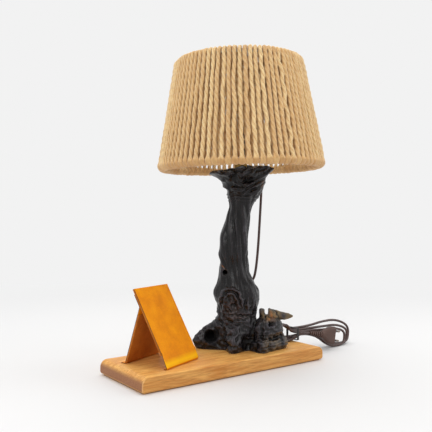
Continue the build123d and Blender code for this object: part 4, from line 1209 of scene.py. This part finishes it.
    def relief(self, local: Array) -> Array:
        """Give how far the wood's own grain, flutes, knobs and folds stand out.

        Args:
            local: Points in the trunk's own frame.

        Returns:
            Millimetres, one per point.
        """
        u, v, z = local.T
        turn = np.arctan2(v, u) + z / 170.0
        burl = rise(u, self.burl_edge, 12.0) * rise(z, self.burl_top, -10.0)
        foot = 0.75 * rise(z, self.foot_top, -36.0)
        head = rise(z, self.head_foot, 18.0)
        rough = np.maximum.reduce([burl, foot, head])
        # Flutes and fibre run up the stem; knobs and folds cover the foot and the burl
        drift = field_of(local, (60.0, 60.0, 55.0), 7.0)
        flutes = 1.1 * np.sin(6.0 * turn + 6.0 * drift) + 0.6 * np.sin(13.0 * turn - 7.0 * drift + 1.0)
        around = np.stack([np.cos(turn) * 9.0, np.sin(turn) * 9.0, z / 26.0], axis=1)
        grain = 0.5 * field_of(around, 1.0) + 0.3 * field_of(around * np.array((2.4, 2.4, 2.0)), 1.0, 5.0)
        knobs = 1.6 * field_of(local, 9.0) + 0.35 * field_of(local, 4.2, 2.0)
        folds = 4.4 * (0.26 - np.abs(field_of(local, (15.0, 15.0, 10.0), 4.0)))
        # The head's gullies sweep up from its middle to both tips
        swept = np.stack([u, v, z - np.where(u < 0.0, -0.36 * u, 0.75 * u)], axis=1)
        gullies = 7.0 * (0.2 - np.abs(field_of(swept, (30.0, 24.0, 9.5), 11.0)))
        gullies *= np.clip((58.0 + u) / 26.0, 0.15, 1.0)
        wrinkles = np.sin(z / 0.95 + 4.0 * field_of(local, 16.0, 8.0))
        rings = np.sin(z / 0.9 + 3.5 * field_of(local, 20.0, 1.0))
        neck = 0.55 * np.exp(-((z - self.neck) / 9.0) ** 2) * rings
        waist = 0.35 * burl * rise(z, self.waist_top, -10.0) * wrinkles
        low = np.maximum(0.6 * burl, foot * (1.0 - 0.5 * burl))
        return (1.1 * field_of(local, 24.0) + (flutes + grain) * (1.0 - 0.8 * rough)
                + (knobs + folds) * low + (gullies + 0.15 * knobs) * head + neck + waist
                + 0.1 * field_of(local, 2.8, 6.0))

    def carving(self, local: Array) -> Array:
        """Give how far the dents, the boss and the eye of the wood's front stand out.

        Args:
            local: Points in the trunk's own frame.

        Returns:
            Millimetres, one per point.
        """
        u, z = self.warped(local)
        total = np.zeros(len(local))
        for dent in self.dents:
            total -= dent.depth * np.exp(-dent.away(u, z) ** 2)
        ring = self.boss.away(u, z) + 0.10 * field_of(local, 11.0, 3.0)
        upper = held(0.5 + 0.8 * np.sin(np.arctan2(z - self.boss.up, u - self.boss.across)))
        for height, middle, width in ((2.6, 1.0, 0.10), (-2.0, 0.84, 0.07), (1.8, 0.68, 0.08)):
            total += upper * height * np.exp(-((ring - middle) / width) ** 2)
        total -= 3.2 * np.abs(field_of(local, (5.5, 5.5, 7.0), 13.0)) * np.exp(-(ring / 0.72) ** 4)
        return total + 1.5 * np.exp(-((self.eye.away(u, z) - 1.75) / 0.5) ** 2)

    def pointiness(self, mesh: Mesh) -> Array:
        """Give how crested the wood is.

        Args:
            mesh: The carved mesh.

        Returns:
            One number per point: 1 on a crest, 0 in a groove and a half where it is flat.
        """
        points = gather(mesh, "co")
        pairs = np.zeros(len(mesh.edges) * 2, dtype=np.int64)
        mesh.edges.foreach_get("vertices", pairs)
        first, second = pairs.reshape(-1, 2).T
        ends = np.concatenate([first, second])
        others = np.concatenate([second, first])
        count = np.bincount(ends, minlength=len(points))

        def average(values: Array) -> Array:
            """Average each point's neighbours."""
            return np.bincount(ends, weights=values[others], minlength=len(points)) / count

        mean = np.stack([average(points[:, axis]) for axis in range(3)], axis=1)
        height = np.sum((points - mean) * gather(mesh, "normal"), axis=1)
        for _ in range(4):
            height = 0.4 * height + 0.6 * average(height)
        return held(0.5 + 0.26 * height / np.std(height))

    def bareness(self, local: Array) -> Array:
        """Give how bare the wood is.

        Args:
            local: Points in the trunk's own frame.

        Returns:
            One number per point: 1 where the burl's top broke open.
        """
        u, _, z = local.T
        total = np.maximum.reduce([patch.depth * np.exp(-patch.away(u, z) ** 2) for patch in self.patches])
        return held(1.3 * total * (1.0 + 1.1 * field_of(local, 5.0, 9.0)))

    def barkiness(self, local: Array) -> Array:
        """Give how much olive-brown bark covers the wood.

        Args:
            local: Points in the trunk's own frame.

        Returns:
            One number per point: 1 on the burl's horn and knob.
        """
        u, _, z = local.T
        horn = rise(u, self.horn_edge, 8.0) * rise(z, 74.0, 10.0) * rise(z, 125.0, -8.0)
        low = 0.45 * rise(u, self.horn_edge, 10.0) * rise(z, 58.0, -12.0)
        return held(np.maximum(horn, low) * (0.75 + 1.2 * field_of(local, 10.0, 5.0)))

    def build(self) -> None:
        """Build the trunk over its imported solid."""
        piece = self.remeshed()
        self.carve(piece.data)
        settle(piece, "base", Finish.CHARRED)
        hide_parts("trunk")
        log.info("trunk: %d points", len(piece.data.vertices))


# Telephone stand


@dataclass(frozen=True)
class Bend:
    """Corner of a bent sheet: its depth and height in the stand's frame, and its outer radius."""

    depth: float
    height: float
    radius: float = 0.0


@dataclass(frozen=True)
class LeatherSheet:
    """Sheet of leather bent along a line across the stand's depth, its body to the line's right."""

    name: str
    node: str
    corners: tuple[Bend, ...]
    rests_on: tuple[str, ...]
    # Lengths along the line between which a painted highlight lies on the lower bend
    band: tuple[float, float] = (0.0, 0.0)
    nick: float = 0.0
    thickness: float = 1.6
    width: float = 89.2
    columns: int = 25
    spacing: float = 3.5
    arc_steps: int = 8
    band_fade: float = 1.5
    nick_depth: float = 1.8
    nick_width: float = 2.2
    # Swell of the face, and rounding of the cut edges
    wave: float = 0.25
    wave_scale: float = 26.0
    wear: float = 0.45
    wear_steps: int = 3
    wear_angle: float = 50.0

    def line(self) -> tuple[Array, Array]:
        """Give the points of the bent line and its headings there.

        Returns:
            Points and unit headings, one row each, as depth and height.
        """
        places = [np.array((bend.depth, bend.height)) for bend in self.corners]
        ahead = [(after - before) / np.linalg.norm(after - before)
                 for before, after in zip(places, places[1:])]
        points, headings = [places[0]], [ahead[0]]
        for place, bend, before, after in zip(places[1:-1], self.corners[1:-1], ahead, ahead[1:]):
            angle = math.acos(float(np.clip(before @ after, -1.0, 1.0)))
            start = place - before * bend.radius * math.tan(angle / 2)
            for turn in (angle * step / self.arc_steps for step in range(self.arc_steps + 1)):
                heading = np.array((before[0] * math.cos(turn) + before[1] * math.sin(turn),
                                    before[1] * math.cos(turn) - before[0] * math.sin(turn)))
                swung = np.array((before[1] - heading[1], heading[0] - before[0]))
                points.append(start + bend.radius * swung)
                headings.append(heading)
        points.append(places[-1])
        headings.append(ahead[-1])
        dense_points, dense_headings = [points[0]], [headings[0]]
        for before, after, heading, next_heading in zip(points, points[1:], headings, headings[1:]):
            parts = max(1, int(float(np.linalg.norm(after - before)) / self.spacing))
            for part in range(1, parts + 1):
                share = part / parts
                dense_points.append(before * (1 - share) + after * share)
                dense_headings.append(next_heading if part == parts else heading)
        return np.array(dense_points), np.array(dense_headings)

    def build(self, place: Matrix) -> Object:
        """Args:
            place: The stand's frame in millimetres.

        Returns:
            The sheet's object.
        """
        line, headings = self.line()
        rows = len(line)
        along = np.concatenate([[0.0], np.cumsum(np.linalg.norm(np.diff(line, axis=0), axis=1))])
        inward = np.stack([headings[:, 1], -headings[:, 0]], axis=1)[:, None, :]
        across = np.linspace(0.0, self.width, self.columns)
        face = np.zeros((rows, self.columns, 3))
        face[:, :, 0] = across
        face[:, :, 1:] = line[:, None, :]
        spots = np.stack([np.tile(across, rows), np.repeat(along, self.columns),
                          np.zeros(rows * self.columns)], axis=1)
        wave = field_of(spots, self.wave_scale, 2.0).reshape(rows, self.columns, 1)
        back = face.copy()
        back[:, :, 1:] += inward * self.thickness
        face[:, :, 1:] -= inward * (self.wave * wave)
        if self.nick:
            bite = self.nick_depth * np.exp(-((along - self.nick) / self.nick_width) ** 2)
            face[:, 0, 0] += bite
            back[:, 0, 0] += bite
        grid = np.concatenate([face.reshape(-1, 3), back.reshape(-1, 3)])
        turned = np.array([place @ Vector(row) for row in grid]) * MM
        piece = new_piece(self.name, turned, self.faces(rows), "base", Finish.LEATHER)
        piece.data.materials.append(WARDROBE.get(Finish.CUT_EDGE))
        covered = 2 * (rows - 1) * (self.columns - 1)
        for number, polygon in enumerate(piece.data.polygons):
            polygon.material_index = 1 if number >= covered else 0
        # The band number marks the painted highlight along the lower bend
        low, high = self.band
        bend_highlight_share = rise(along, low, self.band_fade) * rise(along, high, -self.band_fade)
        store(piece.data, "band", np.tile(np.repeat(bend_highlight_share, self.columns), 2))
        self.soften(piece)
        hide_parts(self.node)
        return piece

    def faces(self, rows: int) -> list[tuple[int, int, int, int]]:
        """Number the quads of the face, the back and the four cut sides, in that order.

        Args:
            rows: Count of rows of points along the bent line.

        Returns:
            Four point numbers per face.
        """
        columns = self.columns
        other = rows * columns
        front = strip_faces(rows, columns, 0, closed=False)
        behind = strip_faces(rows, columns, other, closed=False)[:, ::-1]
        quads = [tuple(quad) for quad in np.concatenate([front, behind])]
        sides = [(row * columns + column, columns)
                 for row in range(rows - 1) for column in (0, columns - 1)]
        sides += [(row * columns + column, 1) for column in range(columns - 1) for row in (0, rows - 1)]
        return quads + [(low, low + step, low + step + other, low + other) for low, step in sides]

    def soften(self, piece: Object) -> None:
        """Turn the faces outward and round the cut edges.

        Args:
            piece: The sheet's object.
        """
        shape = bmesh.new()
        shape.from_mesh(piece.data)
        bmesh.ops.recalc_face_normals(shape, faces=shape.faces)
        shape.to_mesh(piece.data)
        shape.free()
        bevel = piece.modifiers.new("worn_edges", "BEVEL")
        bevel.width = self.wear * MM
        bevel.segments = self.wear_steps
        bevel.limit_method = "ANGLE"
        bevel.angle_limit = math.radians(self.wear_angle)


@dataclass
class TelephoneStand:
    """Leather panel that leans back on a leather leg."""

    corner: Triple = (-134.9, -57.6, 25.0)
    turn: float = 22.9
    # The panel's band is a painted highlight over its lower bend
    panel: LeatherSheet = LeatherSheet(
        "panel_leather", "stand_panel_leather",
        (Bend(9.5, 0.0), Bend(1.6, 0.0, 2.8), Bend(11.18, 20.0, 9.0), Bend(67.28, 120.38)),
        ("base_board", "stand_panel_core"), band=(8.0, 18.5), nick=29.5)
    leg: LeatherSheet = LeatherSheet(
        "leg_leather", "stand_leg_leather",
        (Bend(93.0, 0.0), Bend(84.0, 0.0, 2.8), Bend(55.59, 92.08, 4.0), Bend(66.32, 111.28)),
        ("base_board", "stand_leg_core", "stand_panel_core"))

    def build(self) -> None:
        """Build both sheets."""
        place = Matrix.Translation(Vector(self.corner)) @ Matrix.Rotation(math.radians(self.turn), 4, "Z")
        for part in (self.panel, self.leg):
            piece = part.build(place)
            log.info("%s: %d points", part.name, len(piece.data.vertices))


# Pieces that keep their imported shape


@dataclass
class Hardware:
    """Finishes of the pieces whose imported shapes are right."""

    finishes: dict[Finish, tuple[str, ...]] = field(default_factory=lambda: {
        Finish.PLANK: ("base_board",),
        Finish.FELT: ("felt_sheet",),
        Finish.STEEL: ("trunk_screws", "holder_nipple", "collar_nut", "holder_nut", "switch_screws"),
        Finish.BRASS: ("seat_collar", "seat_screws", "terminal_screws", "centre_contact", "screw_shell",
                       "switch_contact"),
        Finish.RUBBER: ("cord_grip", "hank_tie"),
        Finish.PHENOLIC: ("holder_cap", "holder_body", "shade_nut"),
        Finish.CERAMIC: ("contact_block",),
        Finish.ALUMINIUM: ("bulb_cap",),
        Finish.NICKEL: ("bulb_tip",),
        Finish.PIN: ("plug_pins",),
        Finish.BLACK_GLASS: ("bulb_insulator",),
        Finish.GLASS: ("bulb_glass",),
        Finish.LACQUER: ("shade_frame",),
        Finish.LEATHER_IN_SHADE: ("stand_panel_core", "stand_leg_core"),
        Finish.PLUG: ("plug_body", "switch_front_shell", "switch_back_shell", "switch_rocker"),
        Finish.SLEEVE: ("plug_pin_sleeves",),
    })

    def build(self) -> None:
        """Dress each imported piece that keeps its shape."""
        for finish, names in self.finishes.items():
            for name in names:
                WARDROBE.dress(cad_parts[name], finish)
        log.info("hardware dressed")


def main() -> None:
    """Build every piece in order; all but the studio log what they built."""
    logging.basicConfig(level=logging.INFO, format="%(message)s")
    for part in (Studio(), Flex(), RopeShade(), Trunk(), TelephoneStand(), Hardware()):
        part.build()


if __name__ == "__main__":
    main()
